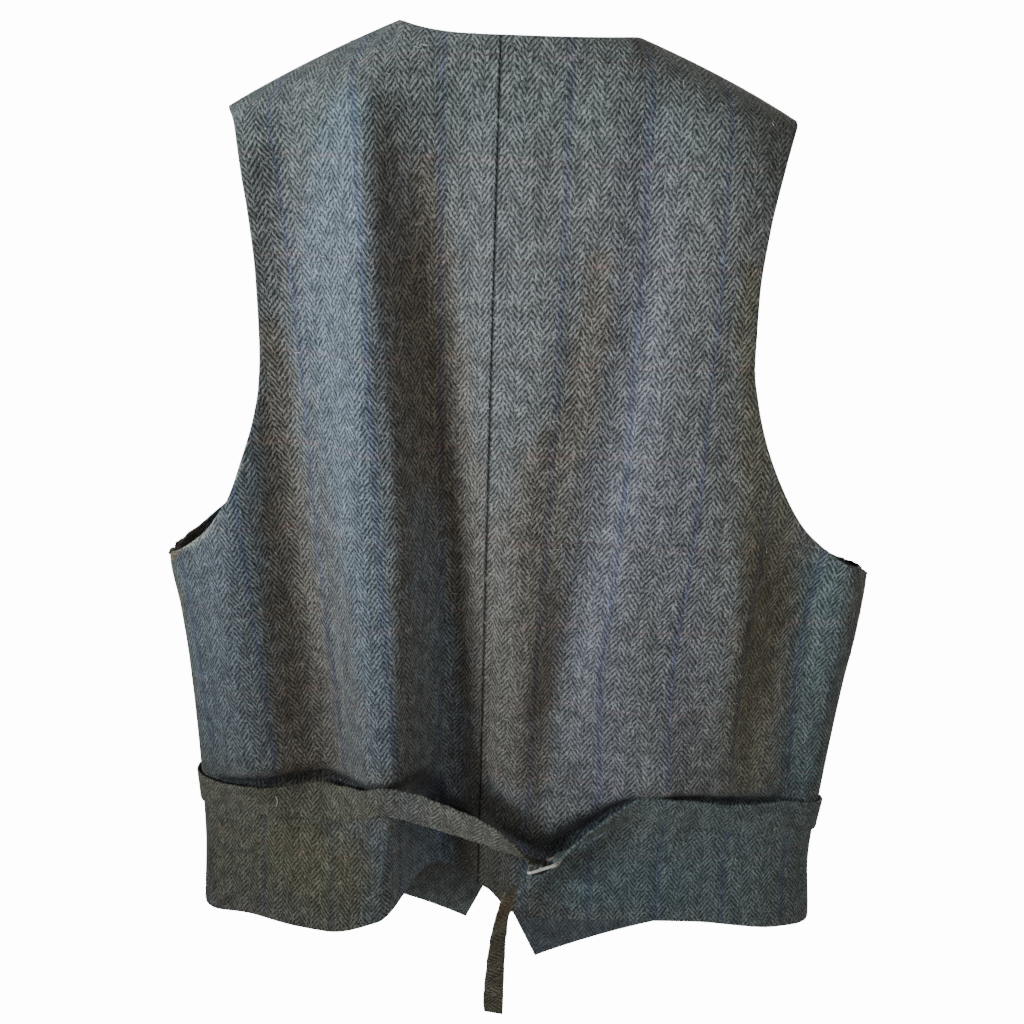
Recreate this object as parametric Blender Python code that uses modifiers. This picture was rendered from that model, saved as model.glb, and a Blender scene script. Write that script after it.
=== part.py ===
"""A tweed waistcoat that hangs open and hollow from its neck and shoulders.

Metres, +Z up. The wearer faces -Y and +X is the wearer's left. The origin is the middle of the neck
opening at the height of the shoulder's neck points. A drop is a distance below the origin, and a
width is measured along the cloth from the centre-back or centre-front line.
"""
import math
from collections import namedtuple

import bmesh
import bpy
from mathutils import Matrix, Vector

# ---------------------------------------------------------------- driving dimensions
CLOTH = 0.0020            # wall of a body panel: tweed and its lining
STRAP_CLOTH = 0.0018      # wall of a strap: two layers of tweed
SEAM_GAP = 0.0003         # clearance between neighbouring pieces
UNDERARM_DROP = 0.357     # top of the side seam
RING_POWER = 2.9          # squareness of the back's plan curve
FRONT_RING_POWER = 2.4    # squareness of the fronts' plan curve
CENTRE_FRONT = -0.012     # X of the button line
OVERLAP = 0.013           # each front passes the button line by this
FRONT_LAP_STEP = 0.0027   # how far the under front lies inside the over front
LAP_FADE = 0.060          # width over which that step dies away
CAP_DROP = 0.045          # height of the round over a shoulder
SHOULDER_SEAM_Y = 0.005   # where back and front meet on the shoulder
SHOULDER_BOW = 0.002      # how far the shoulder seam arches over a straight line
NECK_BACK_Y = 0.040       # how far back the neck edge stands at the centre

# plan of the hollow body at each drop: silhouette half widths and wall depths
Section = namedtuple("Section", "drop left right back front_left front_right")
SECTIONS = (
    Section(-0.010, 0.196, 0.210, 0.046, 0.034, 0.034),
    Section(0.060, 0.198, 0.214, 0.054, 0.046, 0.046),
    Section(0.170, 0.205, 0.230, 0.061, 0.062, 0.060),
    Section(0.270, 0.216, 0.252, 0.060, 0.068, 0.066),
    Section(0.357, 0.2262, 0.2705, 0.057, 0.068, 0.066),
    Section(0.395, 0.2205, 0.2685, 0.057, 0.066, 0.064),
    Section(0.440, 0.2160, 0.2635, 0.056, 0.064, 0.062),
    Section(0.520, 0.2120, 0.2575, 0.053, 0.058, 0.055),
    Section(0.580, 0.2110, 0.2540, 0.053, 0.056, 0.047),
    Section(0.650, 0.2140, 0.2600, 0.053, 0.058, 0.036),
    Section(0.720, 0.2140, 0.2600, 0.053, 0.062, 0.028),
)

# cloth width from the centre line to the armhole edge, from the shoulder tip to the underarm
Armhole = namedtuple("Armhole", "drop back_left back_right front_left front_right")
ARMHOLES = (
    Armhole(0.053, 0.1745, 0.1900, 0.1865, 0.1780),
    Armhole(0.062, 0.1669, 0.1857, 0.1790, 0.1745),
    Armhole(0.075, 0.1624, 0.1808, 0.1740, 0.1700),
    Armhole(0.095, 0.1581, 0.1755, 0.1690, 0.1660),
    Armhole(0.120, 0.1542, 0.1711, 0.1645, 0.1620),
    Armhole(0.155, 0.1507, 0.1678, 0.1590, 0.1580),
    Armhole(0.200, 0.1495, 0.1686, 0.1570, 0.1575),
    Armhole(0.225, 0.1509, 0.1735, 0.1580, 0.1600),
    Armhole(0.250, 0.1556, 0.1812, 0.1620, 0.1650),
    Armhole(0.275, 0.1636, 0.1922, 0.1690, 0.1730),
    Armhole(0.300, 0.1732, 0.2066, 0.1800, 0.1850),
    Armhole(0.315, 0.1830, 0.2180, 0.1910, 0.1980),
    Armhole(0.327, 0.1925, 0.2310, 0.2050, 0.2120),
    Armhole(0.338, 0.2050, 0.2470, 0.2200, 0.2255),
    Armhole(0.349, 0.2222, 0.2745, 0.2370, 0.2385),
    Armhole(0.354, 0.2340, 0.2850, 0.2500, 0.2490),
)

# shoulder and neck: X and drop of the neck point and of the shoulder tip, drop of the neck edge's middle
Shoulder = namedtuple("Shoulder", "neck_x neck_drop tip_drop centre_drop")
SHOULDERS = {
    "left": Shoulder(0.064, -0.0015, 0.053, 0.007),
    "right": Shoulder(0.086, 0.0040, 0.050, 0.007),
}

# drop of the back hem at each share of the way from the centre seam to the side seam
Hem = namedtuple("Hem", "share left right")
BACK_HEM = (
    Hem(0.00, 0.613, 0.612),
    Hem(0.03, 0.611, 0.610),
    Hem(0.08, 0.609, 0.6165),
    Hem(0.13, 0.609, 0.6200),
    Hem(0.20, 0.611, 0.621),
    Hem(0.30, 0.621, 0.621),
    Hem(0.50, 0.628, 0.622),
    Hem(0.70, 0.631, 0.626),
    Hem(0.86, 0.640, 0.635),
    Hem(1.00, 0.650, 0.646),
)

# inner edge of each front, from the neck point down to the point below the last button
FrontEdge = namedtuple("FrontEdge", "drop left right")
FRONT_EDGES = (
    FrontEdge(-0.002, 0.064, -0.086),
    FrontEdge(0.090, 0.046, -0.068),
    FrontEdge(0.180, 0.022, -0.044),
    FrontEdge(0.250, -0.015, -0.007),
    FrontEdge(0.285, CENTRE_FRONT - OVERLAP, CENTRE_FRONT + OVERLAP),
    FrontEdge(0.600, CENTRE_FRONT - OVERLAP, CENTRE_FRONT + OVERLAP),
    FrontEdge(0.645, -0.013, -0.014),
    FrontEdge(0.720, 0.018, -0.050),
)
POINT_DROP = {"left": 0.704, "right": 0.716}
FRONT_SIDE_DROP = {"left": 0.650, "right": 0.646}
FRONT_HEM_POWER = {"left": 1.7, "right": 1.15}   # how soon the hem levels off beside its point

# ridges (+) and troughs (-) of the back: position, height and the reach to either side at each drop
Fold = namedtuple("Fold", "drop x height reach_left reach_right")
BACK_FOLDS = {
    "ridge": (
        Fold(0.030, 0.088, 0.000, 0.040, 0.030),
        Fold(0.165, 0.071, 0.010, 0.050, 0.032),
        Fold(0.270, 0.062, 0.014, 0.052, 0.034),
        Fold(0.365, 0.058, 0.016, 0.050, 0.034),
        Fold(0.500, 0.058, 0.016, 0.048, 0.030),
        Fold(0.540, 0.062, 0.012, 0.060, 0.030),
        Fold(0.660, 0.072, 0.010, 0.060, 0.030),
    ),
    "valley": (
        Fold(0.060, 0.052, 0.000, 0.030, 0.040),
        Fold(0.165, 0.040, -0.006, 0.032, 0.046),
        Fold(0.270, 0.034, -0.012, 0.032, 0.050),
        Fold(0.365, 0.028, -0.018, 0.034, 0.056),
        Fold(0.480, 0.026, -0.028, 0.036, 0.066),
        Fold(0.560, 0.030, -0.044, 0.040, 0.068),
        Fold(0.660, 0.034, -0.058, 0.040, 0.068),
    ),
    "skirt bulge": (
        Fold(0.515, 0.105, 0.000, 0.080, 0.046),
        Fold(0.580, 0.108, 0.012, 0.086, 0.046),
        Fold(0.660, 0.110, 0.018, 0.092, 0.048),
    ),
    "side trough": (
        Fold(0.200, 0.138, 0.000, 0.030, 0.034),
        Fold(0.300, 0.130, -0.006, 0.034, 0.034),
        Fold(0.450, 0.118, -0.008, 0.038, 0.034),
        Fold(0.520, 0.116, -0.006, 0.040, 0.034),
        Fold(0.570, 0.116, 0.000, 0.040, 0.034),
    ),
    "flank ridge": (
        Fold(0.330, 0.168, 0.000, 0.036, 0.034),
        Fold(0.420, 0.166, 0.006, 0.036, 0.036),
        Fold(0.500, 0.162, 0.008, 0.036, 0.036),
        Fold(0.560, 0.162, 0.000, 0.036, 0.036),
    ),
    "right inner ridge": (
        Fold(0.090, -0.034, 0.000, 0.030, 0.028),
        Fold(0.200, -0.034, 0.0035, 0.032, 0.030),
        Fold(0.380, -0.020, 0.003, 0.030, 0.030),
        Fold(0.500, -0.016, 0.000, 0.030, 0.030),
    ),
    "right trough": (
        Fold(0.110, -0.066, 0.000, 0.026, 0.030),
        Fold(0.200, -0.062, -0.004, 0.028, 0.032),
        Fold(0.330, -0.048, -0.005, 0.028, 0.032),
        Fold(0.470, -0.052, -0.003, 0.030, 0.034),
        Fold(0.540, -0.060, 0.000, 0.030, 0.034),
    ),
    "right ridge": (
        Fold(0.120, -0.104, 0.000, 0.034, 0.050),
        Fold(0.250, -0.102, 0.005, 0.036, 0.056),
        Fold(0.400, -0.096, 0.006, 0.036, 0.060),
        Fold(0.505, -0.124, 0.008, 0.050, 0.050),
        Fold(0.570, -0.124, 0.000, 0.050, 0.050),
    ),
    "right flank trough": (
        Fold(0.280, -0.188, 0.000, 0.030, 0.030),
        Fold(0.380, -0.200, -0.007, 0.034, 0.032),
        Fold(0.480, -0.192, -0.006, 0.036, 0.034),
        Fold(0.545, -0.180, 0.000, 0.036, 0.034),
    ),
    "right blouse": (
        Fold(0.400, -0.215, 0.000, 0.060, 0.030),
        Fold(0.490, -0.225, 0.004, 0.060, 0.030),
        Fold(0.520, -0.225, 0.000, 0.060, 0.030),
    ),
    "right skirt wave": (
        Fold(0.540, -0.210, 0.000, 0.050, 0.036),
        Fold(0.650, -0.214, 0.006, 0.050, 0.036),
    ),
}

# grid of each panel: columns to and beyond the neck point, rows below and above the underarm
Grid = namedtuple("Grid", "inner_columns outer_columns lower_rows upper_rows cap_rows")
BACK_GRID = {"left": Grid(13, 12, 18, 12, 6), "right": Grid(11, 12, 18, 12, 6)}
FRONT_GRID = {"left": Grid(0, 13, 14, 10, 5), "right": Grid(0, 13, 14, 10, 5)}
SEAM_COLUMN = 0.985       # share of a panel's width at its last column but one
RING_SAMPLES = 72

# straps on the cloth: share of the half back, drop of the top edge, width, height over the cloth
Lay = namedtuple("Lay", "share top width lift")
STRAP_LAYS = {
    "left": (
        Lay(0.990, 0.5265, 0.0240, 0.0018), Lay(0.911, 0.5229, 0.0240, 0.0020),
        Lay(0.820, 0.5175, 0.0245, 0.0024), Lay(0.706, 0.5115, 0.0250, 0.0034),
        Lay(0.555, 0.5115, 0.0245, 0.0070), Lay(0.461, 0.5105, 0.0240, 0.0068),
        Lay(0.341, 0.5066, 0.0235, 0.0028), Lay(0.285, 0.5060, 0.0230, 0.0022),
    ),
    "right": (
        Lay(0.990, 0.5370, 0.0245, 0.0018), Lay(0.942, 0.5330, 0.0245, 0.0020),
        Lay(0.856, 0.5275, 0.0245, 0.0028), Lay(0.764, 0.5235, 0.0245, 0.0048),
        Lay(0.695, 0.5210, 0.0245, 0.0054), Lay(0.626, 0.5180, 0.0240, 0.0046),
        Lay(0.541, 0.5130, 0.0235, 0.0028), Lay(0.475, 0.5095, 0.0225, 0.0022),
    ),
}
LAY_STEPS = 16
# straps in the air between the cloth and the buckle: upper edge and lower edge
Span = namedtuple("Span", "upper lower")
STRAP_SPANS = {
    "left": (
        Span((0.0460, 0.0775, -0.5075), (0.0462, 0.0715, -0.5310)),
        Span((0.0285, 0.0780, -0.5150), (0.0286, 0.0710, -0.5365)),
        Span((0.0010, 0.0785, -0.5285), (0.0013, 0.0690, -0.5460)),
        Span((-0.0185, 0.0785, -0.5430), (-0.0200, 0.0665, -0.5560)),
    ),
    "right": (
        Span((-0.1120, 0.0670, -0.5090), (-0.1130, 0.0600, -0.5290)),
        Span((-0.0855, 0.0735, -0.5265), (-0.0880, 0.0620, -0.5400)),
        Span((-0.0700, 0.0755, -0.5405), (-0.0720, 0.0615, -0.5500)),
    ),
}
# straps in the buckle: along it (+ towards the wearer's left) and out of its plane
Thread = namedtuple("Thread", "along out width")
LOOP = (
    Thread(0.0165, -0.0030, 0.0136),
    Thread(0.0112, -0.0024, 0.0134),
    Thread(0.0055, 0.0008, 0.0134),
)
LOOP_END = (
    Thread(0.0055, -0.0036, 0.0134),
    Thread(0.0112, -0.0049, 0.0134),
    Thread(0.0165, -0.0056, 0.0134),
)
LOOP_RADIUS = 0.0024      # middle of the strap's wall round the centre bar
PASSAGE = (
    Thread(-0.0175, -0.0030, 0.0136),
    Thread(-0.0112, -0.0026, 0.0134),
    Thread(-0.0062, 0.0016, 0.0134),
    Thread(-0.0010, 0.0047, 0.0134),
    Thread(0.0060, 0.0040, 0.0134),
    Thread(0.0112, 0.0032, 0.0136),
)
# the strap's free end below the buckle: middle, width, turn from facing straight back
Hang = namedtuple("Hang", "x y z width turn slant")
TAIL = (
    Hang(-0.0295, 0.0700, -0.5770, 0.0140, 56.0, 0.0),
    Hang(-0.0248, 0.0700, -0.5855, 0.0150, 50.0, 0.0),
    Hang(-0.0222, 0.0700, -0.5935, 0.0156, 48.0, 0.0),
    Hang(-0.0205, 0.0700, -0.6035, 0.0158, 47.0, 0.0),
    Hang(-0.0184, 0.0700, -0.6125, 0.0158, 46.0, 0.0),
    Hang(-0.0165, 0.0700, -0.6315, 0.0158, 40.0, 0.0),
    Hang(-0.0156, 0.0700, -0.6500, 0.0158, 32.0, 0.0),
    Hang(-0.0150, 0.0700, -0.6695, 0.0158, 22.0, 0.0),
    Hang(-0.0150, 0.0700, -0.6830, 0.0156, 17.0, 0.002),
    Hang(-0.0154, 0.0700, -0.6925, 0.0146, 17.0, 0.006),
)
STRAP_LINES = (0.0, 0.34, 0.66, 1.0)   # lines along a strap, from the upper edge to the lower

BUCKLE_RAIL = 0.0225      # length along the straps, between the end bars' middles
BUCKLE_HEIGHT = 0.0180    # between the rails' middles
BUCKLE_WIRE = 0.0011      # radius of the frame's wire
BUCKLE_CORNER = 0.0024
BUCKLE_PLACE = Vector((-0.0471, 0.0680, -0.5643))
BUCKLE_ALONG = Vector((0.9257, 0.0, -0.3783))
BUCKLE_UP = Vector((0.106, 0.960, 0.259)).normalized()
BUCKLE_OUT = BUCKLE_UP.cross(BUCKLE_ALONG).normalized()

BUTTON_DROPS = (0.298, 0.373, 0.448, 0.523, 0.596)
BUTTON_LIFT = 0.0006      # back of a button over the cloth
BUTTON_HOLE = 0.0009
BUTTON_HOLE_SPACING = 0.0017
# half section of a button: radius and height over its back
BUTTON_SECTION = ((0.0, 0.0), (0.0064, 0.0), (0.0076, 0.0014), (0.0070, 0.0028), (0.0060, 0.0028),
                  (0.0048, 0.0020), (0.0, 0.0018))

SIDE_SIGN = {"left": 1.0, "right": -1.0}

MATERIALS = {
    "tweed": ((0.055, 0.063, 0.066, 1.0), 0.92, 0.0),
    "strap_tweed": ((0.062, 0.066, 0.060, 1.0), 0.92, 0.0),
    "buckle_metal": ((0.78, 0.77, 0.72, 1.0), 0.30, 1.0),
    "button_horn": ((0.030, 0.024, 0.020, 1.0), 0.35, 0.0),
}


# ---------------------------------------------------------------- interpolation
def smooth_table(rows, position, column, key="drop"):
    """Monotone cubic through one column of a table, held level beyond its ends."""
    keys = [getattr(row, key) for row in rows]
    values = [getattr(row, column) for row in rows]
    return smooth_values(keys, values, position)


def smooth_values(keys, values, position):
    if position <= keys[0]:
        return values[0]
    if position >= keys[-1]:
        return values[-1]
    index = max(i for i in range(len(keys) - 1) if keys[i] <= position)
    steps = [keys[i + 1] - keys[i] for i in range(len(keys) - 1)]
    slopes = [(values[i + 1] - values[i]) / steps[i] for i in range(len(steps))]

    def tangent(i):
        if i == 0:
            return slopes[0]
        if i == len(steps):
            return slopes[-1]
        if slopes[i - 1] * slopes[i] <= 0.0:
            return 0.0
        return 2.0 * slopes[i - 1] * slopes[i] / (slopes[i - 1] + slopes[i])

    step = steps[index]
    u = (position - keys[index]) / step
    start, end = values[index], values[index + 1]
    return (start * (1 + 2 * u) * (1 - u) ** 2 + end * u * u * (3 - 2 * u)
            + step * u * (1 - u) * (tangent(index) * (1 - u) - tangent(index + 1) * u))


def bump(u):
    return 0.5 * (1.0 + math.cos(math.pi * u)) if abs(u) < 1.0 else 0.0


# ---------------------------------------------------------------- body rings
def ring_half_width(drop, x):
    return smooth_table(SECTIONS, drop, "left" if x >= 0.0 else "right")


def ring_curve(drop, depth, power, start_x, side):
    """Plan polyline from start_x round to the side seam, with the length run so far."""
    sign = SIDE_SIGN[side]
    half = smooth_table(SECTIONS, drop, side)
    start_half = ring_half_width(drop, start_x)
    share = min(1.0, abs(start_x) / start_half)
    start_angle = math.asin(share ** (power / 2.0)) * (1.0 if start_x * sign >= 0.0 else -1.0)
    points, lengths = [], [0.0]
    for step in range(RING_SAMPLES + 1):
        angle = start_angle + (math.pi / 2.0 - start_angle) * step / RING_SAMPLES
        width = half if angle >= 0.0 else ring_half_width(drop, -sign)
        x = sign * math.copysign(width * abs(math.sin(angle)) ** (2.0 / power), angle)
        y = depth * max(0.0, math.cos(angle)) ** (2.0 / power)
        points.append((x, y))
        if step:
            lengths.append(lengths[-1] + math.dist(points[-1], points[-2]))
    return points, lengths


def along_curve(points, lengths, width):
    width = min(max(width, 0.0), lengths[-1])
    index = max(i for i in range(len(lengths) - 1) if lengths[i] <= width)
    u = (width - lengths[index]) / (lengths[index + 1] - lengths[index])
    start, end = points[index], points[index + 1]
    return start[0] + (end[0] - start[0]) * u, start[1] + (end[1] - start[1]) * u


def armhole_width(drop, column, full_width):
    keys = [row.drop for row in ARMHOLES] + [UNDERARM_DROP]
    values = [getattr(row, column) for row in ARMHOLES] + [full_width]
    if drop >= UNDERARM_DROP:
        return full_width
    return min(smooth_values(keys, values, drop), full_width)


def back_fold(x, drop):
    """How far the back stands out of its plan curve at this place."""
    total = 0.0
    for rows in BACK_FOLDS.values():
        centre = smooth_table(rows, drop, "x")
        height = smooth_table(rows, drop, "height")
        reach = smooth_table(rows, drop, "reach_left" if x >= centre else "reach_right")
        total += height * bump((x - centre) / reach)
    half = ring_half_width(drop, x)
    edge_share = min(1.0, abs(x) / half)
    return total * (1.0 - edge_share ** 10)


# ---------------------------------------------------------------- back panels
def back_top_drop(side, share):
    shoulder = SHOULDERS[side]
    neck_share = neck_column(side)
    if share <= neck_share:
        return (shoulder.centre_drop
                + (shoulder.neck_drop - shoulder.centre_drop) * (share / neck_share) ** 3)
    return shoulder_drop(side, (share - neck_share) / (1.0 - neck_share))


def shoulder_drop(side, run):
    """Drop of the shoulder seam, from the neck point (run 0) to the tip (run 1)."""
    shoulder = SHOULDERS[side]
    return (shoulder.neck_drop + (shoulder.tip_drop - shoulder.neck_drop) * run
            - SHOULDER_BOW * 4.0 * run * (1.0 - run))


def neck_column(side):
    """Share of the shoulder's width at which the neck point lies."""
    return SHOULDERS[side].neck_x / getattr(ARMHOLES[0], "back_" + side)


def back_edge_y(side, share):
    neck_share = neck_column(side)
    if share >= neck_share:
        return SHOULDER_SEAM_Y
    return SHOULDER_SEAM_Y + (NECK_BACK_Y - SHOULDER_SEAM_Y) * math.sqrt(1.0 - (share / neck_share) ** 2)


def back_point(side, share, height):
    """Outer face of the back: share 0 centre seam to 1 side, height 0 hem to 1 top edge."""
    top = back_top_drop(side, share)
    hem = smooth_table(BACK_HEM, share, side, key="share")
    drop = top + (1.0 - height) * (hem - top)
    return back_point_at(side, share, drop, top)


def back_point_at(side, share, drop, top):
    depth = smooth_table(SECTIONS, drop, "back")
    points, lengths = ring_curve(drop, depth, RING_POWER, 0.0, side)
    seam = SEAM_GAP / 2.0
    edge = armhole_width(drop, "back_" + side, lengths[-1] - seam)
    x, y = along_curve(points, lengths, seam + share * (edge - seam))
    y += back_fold(x, drop)
    cap = min(1.0, max(0.0, drop - top) / CAP_DROP)
    edge_y = back_edge_y(side, share) + SEAM_GAP / 2.0
    y = edge_y + (y - edge_y) * math.sqrt(1.0 - (1.0 - cap) ** 2)
    return Vector((x, y, -drop))


# ---------------------------------------------------------------- front panels
def front_point(side, share, height):
    """Outer face of a front: share 0 inner edge to 1 side, height 0 hem to 1 shoulder."""
    top = shoulder_drop(side, share)
    fall = POINT_DROP[side] - FRONT_SIDE_DROP[side]
    hem = FRONT_SIDE_DROP[side] + fall * (1.0 - share) ** FRONT_HEM_POWER[side]
    drop = top + (1.0 - height) * (hem - top)
    depth = smooth_table(SECTIONS, drop, "front_" + side)
    inner_x = smooth_table(FRONT_EDGES, drop, side)
    points, lengths = ring_curve(drop, depth, FRONT_RING_POWER, inner_x, side)
    full = lengths[-1] - SEAM_GAP / 2.0
    centre_run = (inner_x - CENTRE_FRONT) * SIDE_SIGN[side]
    edge = full
    if drop < UNDERARM_DROP:
        edge = min(full, armhole_width(drop, "front_" + side, full + centre_run) - centre_run)
    x, y = along_curve(points, lengths, share * edge)
    if side == "right":
        y -= FRONT_LAP_STEP * bump(min(1.0, abs(x - CENTRE_FRONT - OVERLAP) / LAP_FADE))
    cap = min(1.0, max(0.0, drop - top) / CAP_DROP)
    edge_y = -SHOULDER_SEAM_Y + SEAM_GAP / 2.0
    y = edge_y + (y - edge_y) * math.sqrt(1.0 - (1.0 - cap) ** 2)
    return Vector((x, -y, -drop))


# ---------------------------------------------------------------- mesh helpers
def clear_scene():
    for item in list(bpy.data.objects):
        bpy.data.objects.remove(item, do_unlink=True)


def make_material(name):
    colour, roughness, metallic = MATERIALS[name]
    material = bpy.data.materials.new(name)
    material.use_nodes = True
    shader = material.node_tree.nodes["Principled BSDF"]
    shader.inputs["Base Color"].default_value = colour
    shader.inputs["Roughness"].default_value = roughness
    shader.inputs["Metallic"].default_value = metallic
    return material


def add_object(name, mesh_source, collection, material):
    mesh = bpy.data.meshes.new(name)
    mesh_source.to_mesh(mesh)
    mesh_source.free()
    mesh.materials.append(material)
    mesh.shade_smooth()
    mesh.set_sharp_from_angle(angle=math.radians(50))
    item = bpy.data.objects.new(name, mesh)
    collection.objects.link(item)
    return item


def stations(knots, counts):
    """Even steps between knots, counts[i] of them between knots i and i + 1."""
    values = [knots[0]]
    for start, end, count in zip(knots, knots[1:], counts):
        values += [start + (end - start) * (i + 1) / count for i in range(count)]
    return values


def shaped_grid(columns, rows, place):
    """A flat grid whose points are moved to place(column value, row value)."""
    mesh = bmesh.new()
    bmesh.ops.create_grid(mesh, x_segments=len(columns) - 1, y_segments=len(rows) - 1, size=0.5)
    for vertex in mesh.verts:
        column = round((vertex.co.x + 0.5) * (len(columns) - 1))
        row = round((vertex.co.y + 0.5) * (len(rows) - 1))
        vertex.co = place(columns[column], rows[row])
    return mesh


def solidify(item, thickness, offset):
    wall = item.modifiers.new("wall", "SOLIDIFY")
    wall.thickness = thickness
    wall.offset = offset


def face_outward(mesh, outward):
    """Turn the faces over where their normals run against the outward direction."""
    mesh.normal_update()
    lean = sum(face.normal.dot(outward) for face in mesh.faces)
    if lean < 0.0:
        bmesh.ops.reverse_faces(mesh, faces=mesh.faces[:])


def bake(item):
    """Put the modifiers' result into the object's own mesh."""
    graph = bpy.context.evaluated_depsgraph_get()
    baked = bpy.data.meshes.new_from_object(item.evaluated_get(graph))
    item.modifiers.clear()
    item.data = baked
    return baked


def trim_wall(item, side, facing):
    """Hold a panel's wall on its own side of the side, shoulder and centre-back seams."""
    gap = SEAM_GAP / 2.0
    sign = SIDE_SIGN[side]
    tip = SHOULDERS[side].tip_drop
    for vertex in bake(item).vertices:
        drop = -vertex.co.z
        depth = vertex.co.y * facing
        near_side = abs(vertex.co.x) > 0.8 * ring_half_width(drop, vertex.co.x)
        if drop > UNDERARM_DROP - 0.012 and near_side:
            depth = max(depth, gap)
        if drop < tip + 0.004:
            depth = max(depth, SHOULDER_SEAM_Y * facing + gap)
        vertex.co.y = depth * facing
        if facing > 0.0:
            vertex.co.x = sign * max(vertex.co.x * sign, gap)


def panel_rows(side, side_hem, grid):
    """Rows from the hem to the shoulder, one of them at the underarm, close together at the seam."""
    length = side_hem - SHOULDERS[side].tip_drop
    underarm = (side_hem - UNDERARM_DROP) / length
    cap = 1.0 - CAP_DROP / length
    rows = stations((0.0, underarm, cap), (grid.lower_rows, grid.upper_rows))
    armhole = rows[grid.lower_rows:]
    rows[grid.lower_rows:] = [underarm + (cap - underarm) * ((row - underarm) / (cap - underarm)) ** 1.8
                              for row in armhole]
    for step in range(grid.cap_rows - 1, -1, -1):
        rows.append(1.0 - (1.0 - cap) * (step / grid.cap_rows) ** 2.6)
    return rows


def make_back(side, collection, material):
    grid = BACK_GRID[side]
    knots = (0.0, neck_column(side), SEAM_COLUMN, 1.0)
    columns = stations(knots, (grid.inner_columns, grid.outer_columns, 1))
    rows = panel_rows(side, getattr(BACK_HEM[-1], side), grid)
    mesh = shaped_grid(columns, rows, lambda share, height: back_point(side, share, height))
    face_outward(mesh, Vector((0.0, 1.0, 0.0)))
    item = add_object("back_" + side, mesh, collection, material)
    solidify(item, CLOTH, -1.0)
    trim_wall(item, side, 1.0)


def make_front(side, collection, material):
    grid = FRONT_GRID[side]
    columns = stations((0.0, SEAM_COLUMN, 1.0), (grid.outer_columns, 1))
    rows = panel_rows(side, FRONT_SIDE_DROP[side], grid)
    mesh = shaped_grid(columns, rows, lambda share, height: front_point(side, share, height))
    face_outward(mesh, Vector((0.0, -1.0, 0.0)))
    item = add_object("front_" + side, mesh, collection, material)
    solidify(item, CLOTH, -1.0)
    trim_wall(item, side, -1.0)


# ---------------------------------------------------------------- straps
def over_cloth(side, share, drop, lift):
    """A point held off the back's outer face."""
    step = 0.002
    place = back_point_at(side, share, drop, 0.0)
    inward = back_point_at(side, max(0.0, share - 0.02), drop, 0.0)
    lower = back_point_at(side, share, drop + step, 0.0)
    normal = (place - inward).cross(place - lower).normalized() * -SIDE_SIGN[side]
    return place + normal * lift


def laid_stations(side):
    lays = STRAP_LAYS[side]
    order = sorted(lays, key=lambda lay: lay.share)
    places = []
    for step in range(LAY_STEPS + 1):
        share = lays[0].share + (lays[-1].share - lays[0].share) * step / LAY_STEPS
        top = smooth_table(order, share, "top", key="share")
        width = smooth_table(order, share, "width", key="share")
        lift = smooth_table(order, share, "lift", key="share")
        places.append([over_cloth(side, share, top + width * line, lift) for line in STRAP_LINES])
    return places


def across(upper, lower):
    return [upper.lerp(lower, line) for line in STRAP_LINES]


def in_buckle(thread):
    middle = BUCKLE_PLACE + BUCKLE_ALONG * thread.along + BUCKLE_OUT * thread.out
    half = BUCKLE_UP * thread.width / 2.0
    return across(middle + half, middle - half)


def loop_stations():
    """The left strap's way to the centre bar, round it and back."""
    places = [in_buckle(thread) for thread in LOOP]
    for step in range(9):
        angle = math.radians(70.0 + 220.0 * step / 8.0)
        places.append(in_buckle(Thread(LOOP_RADIUS * math.cos(angle), LOOP_RADIUS * math.sin(angle), 0.0134)))
    return places + [in_buckle(thread) for thread in LOOP_END]


def tail_stations():
    places = [in_buckle(thread) for thread in PASSAGE]
    for hang in TAIL:
        turn = math.radians(hang.turn)
        half = Vector((math.cos(turn), math.sin(turn), hang.slant / hang.width)) * hang.width / 2.0
        middle = Vector((hang.x, hang.y, hang.z))
        places.append(across(middle + half, middle - half))
    return places


def smooth_path(places, first, steps):
    """Add in-between stations after place number first, so that the strap bends without corners."""
    smooth = places[:first]
    for index in range(first, len(places) - 1):
        before, start = places[max(0, index - 1)], places[index]
        end, after = places[index + 1], places[min(len(places) - 1, index + 2)]
        for step in range(steps):
            u = step / steps
            smooth.append([(p1 * 2.0 + (p2 - p0) * u + (p0 * 2.0 - p1 * 5.0 + p2 * 4.0 - p3) * u * u
                            + (p1 * 3.0 - p0 - p2 * 3.0 + p3) * u ** 3) * 0.5
                           for p0, p1, p2, p3 in zip(before, start, end, after)])
    smooth.append(places[-1])
    return smooth


def make_strap(side, places, collection, material):
    mesh = shaped_grid(range(len(STRAP_LINES)), range(len(places)), lambda line, row: places[row][line])
    face_outward(mesh, Vector((0.0, 1.0, 0.0)))
    item = add_object("strap_" + side, mesh, collection, material)
    solidify(item, STRAP_CLOTH, 0.0)
    bake(item)


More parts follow.
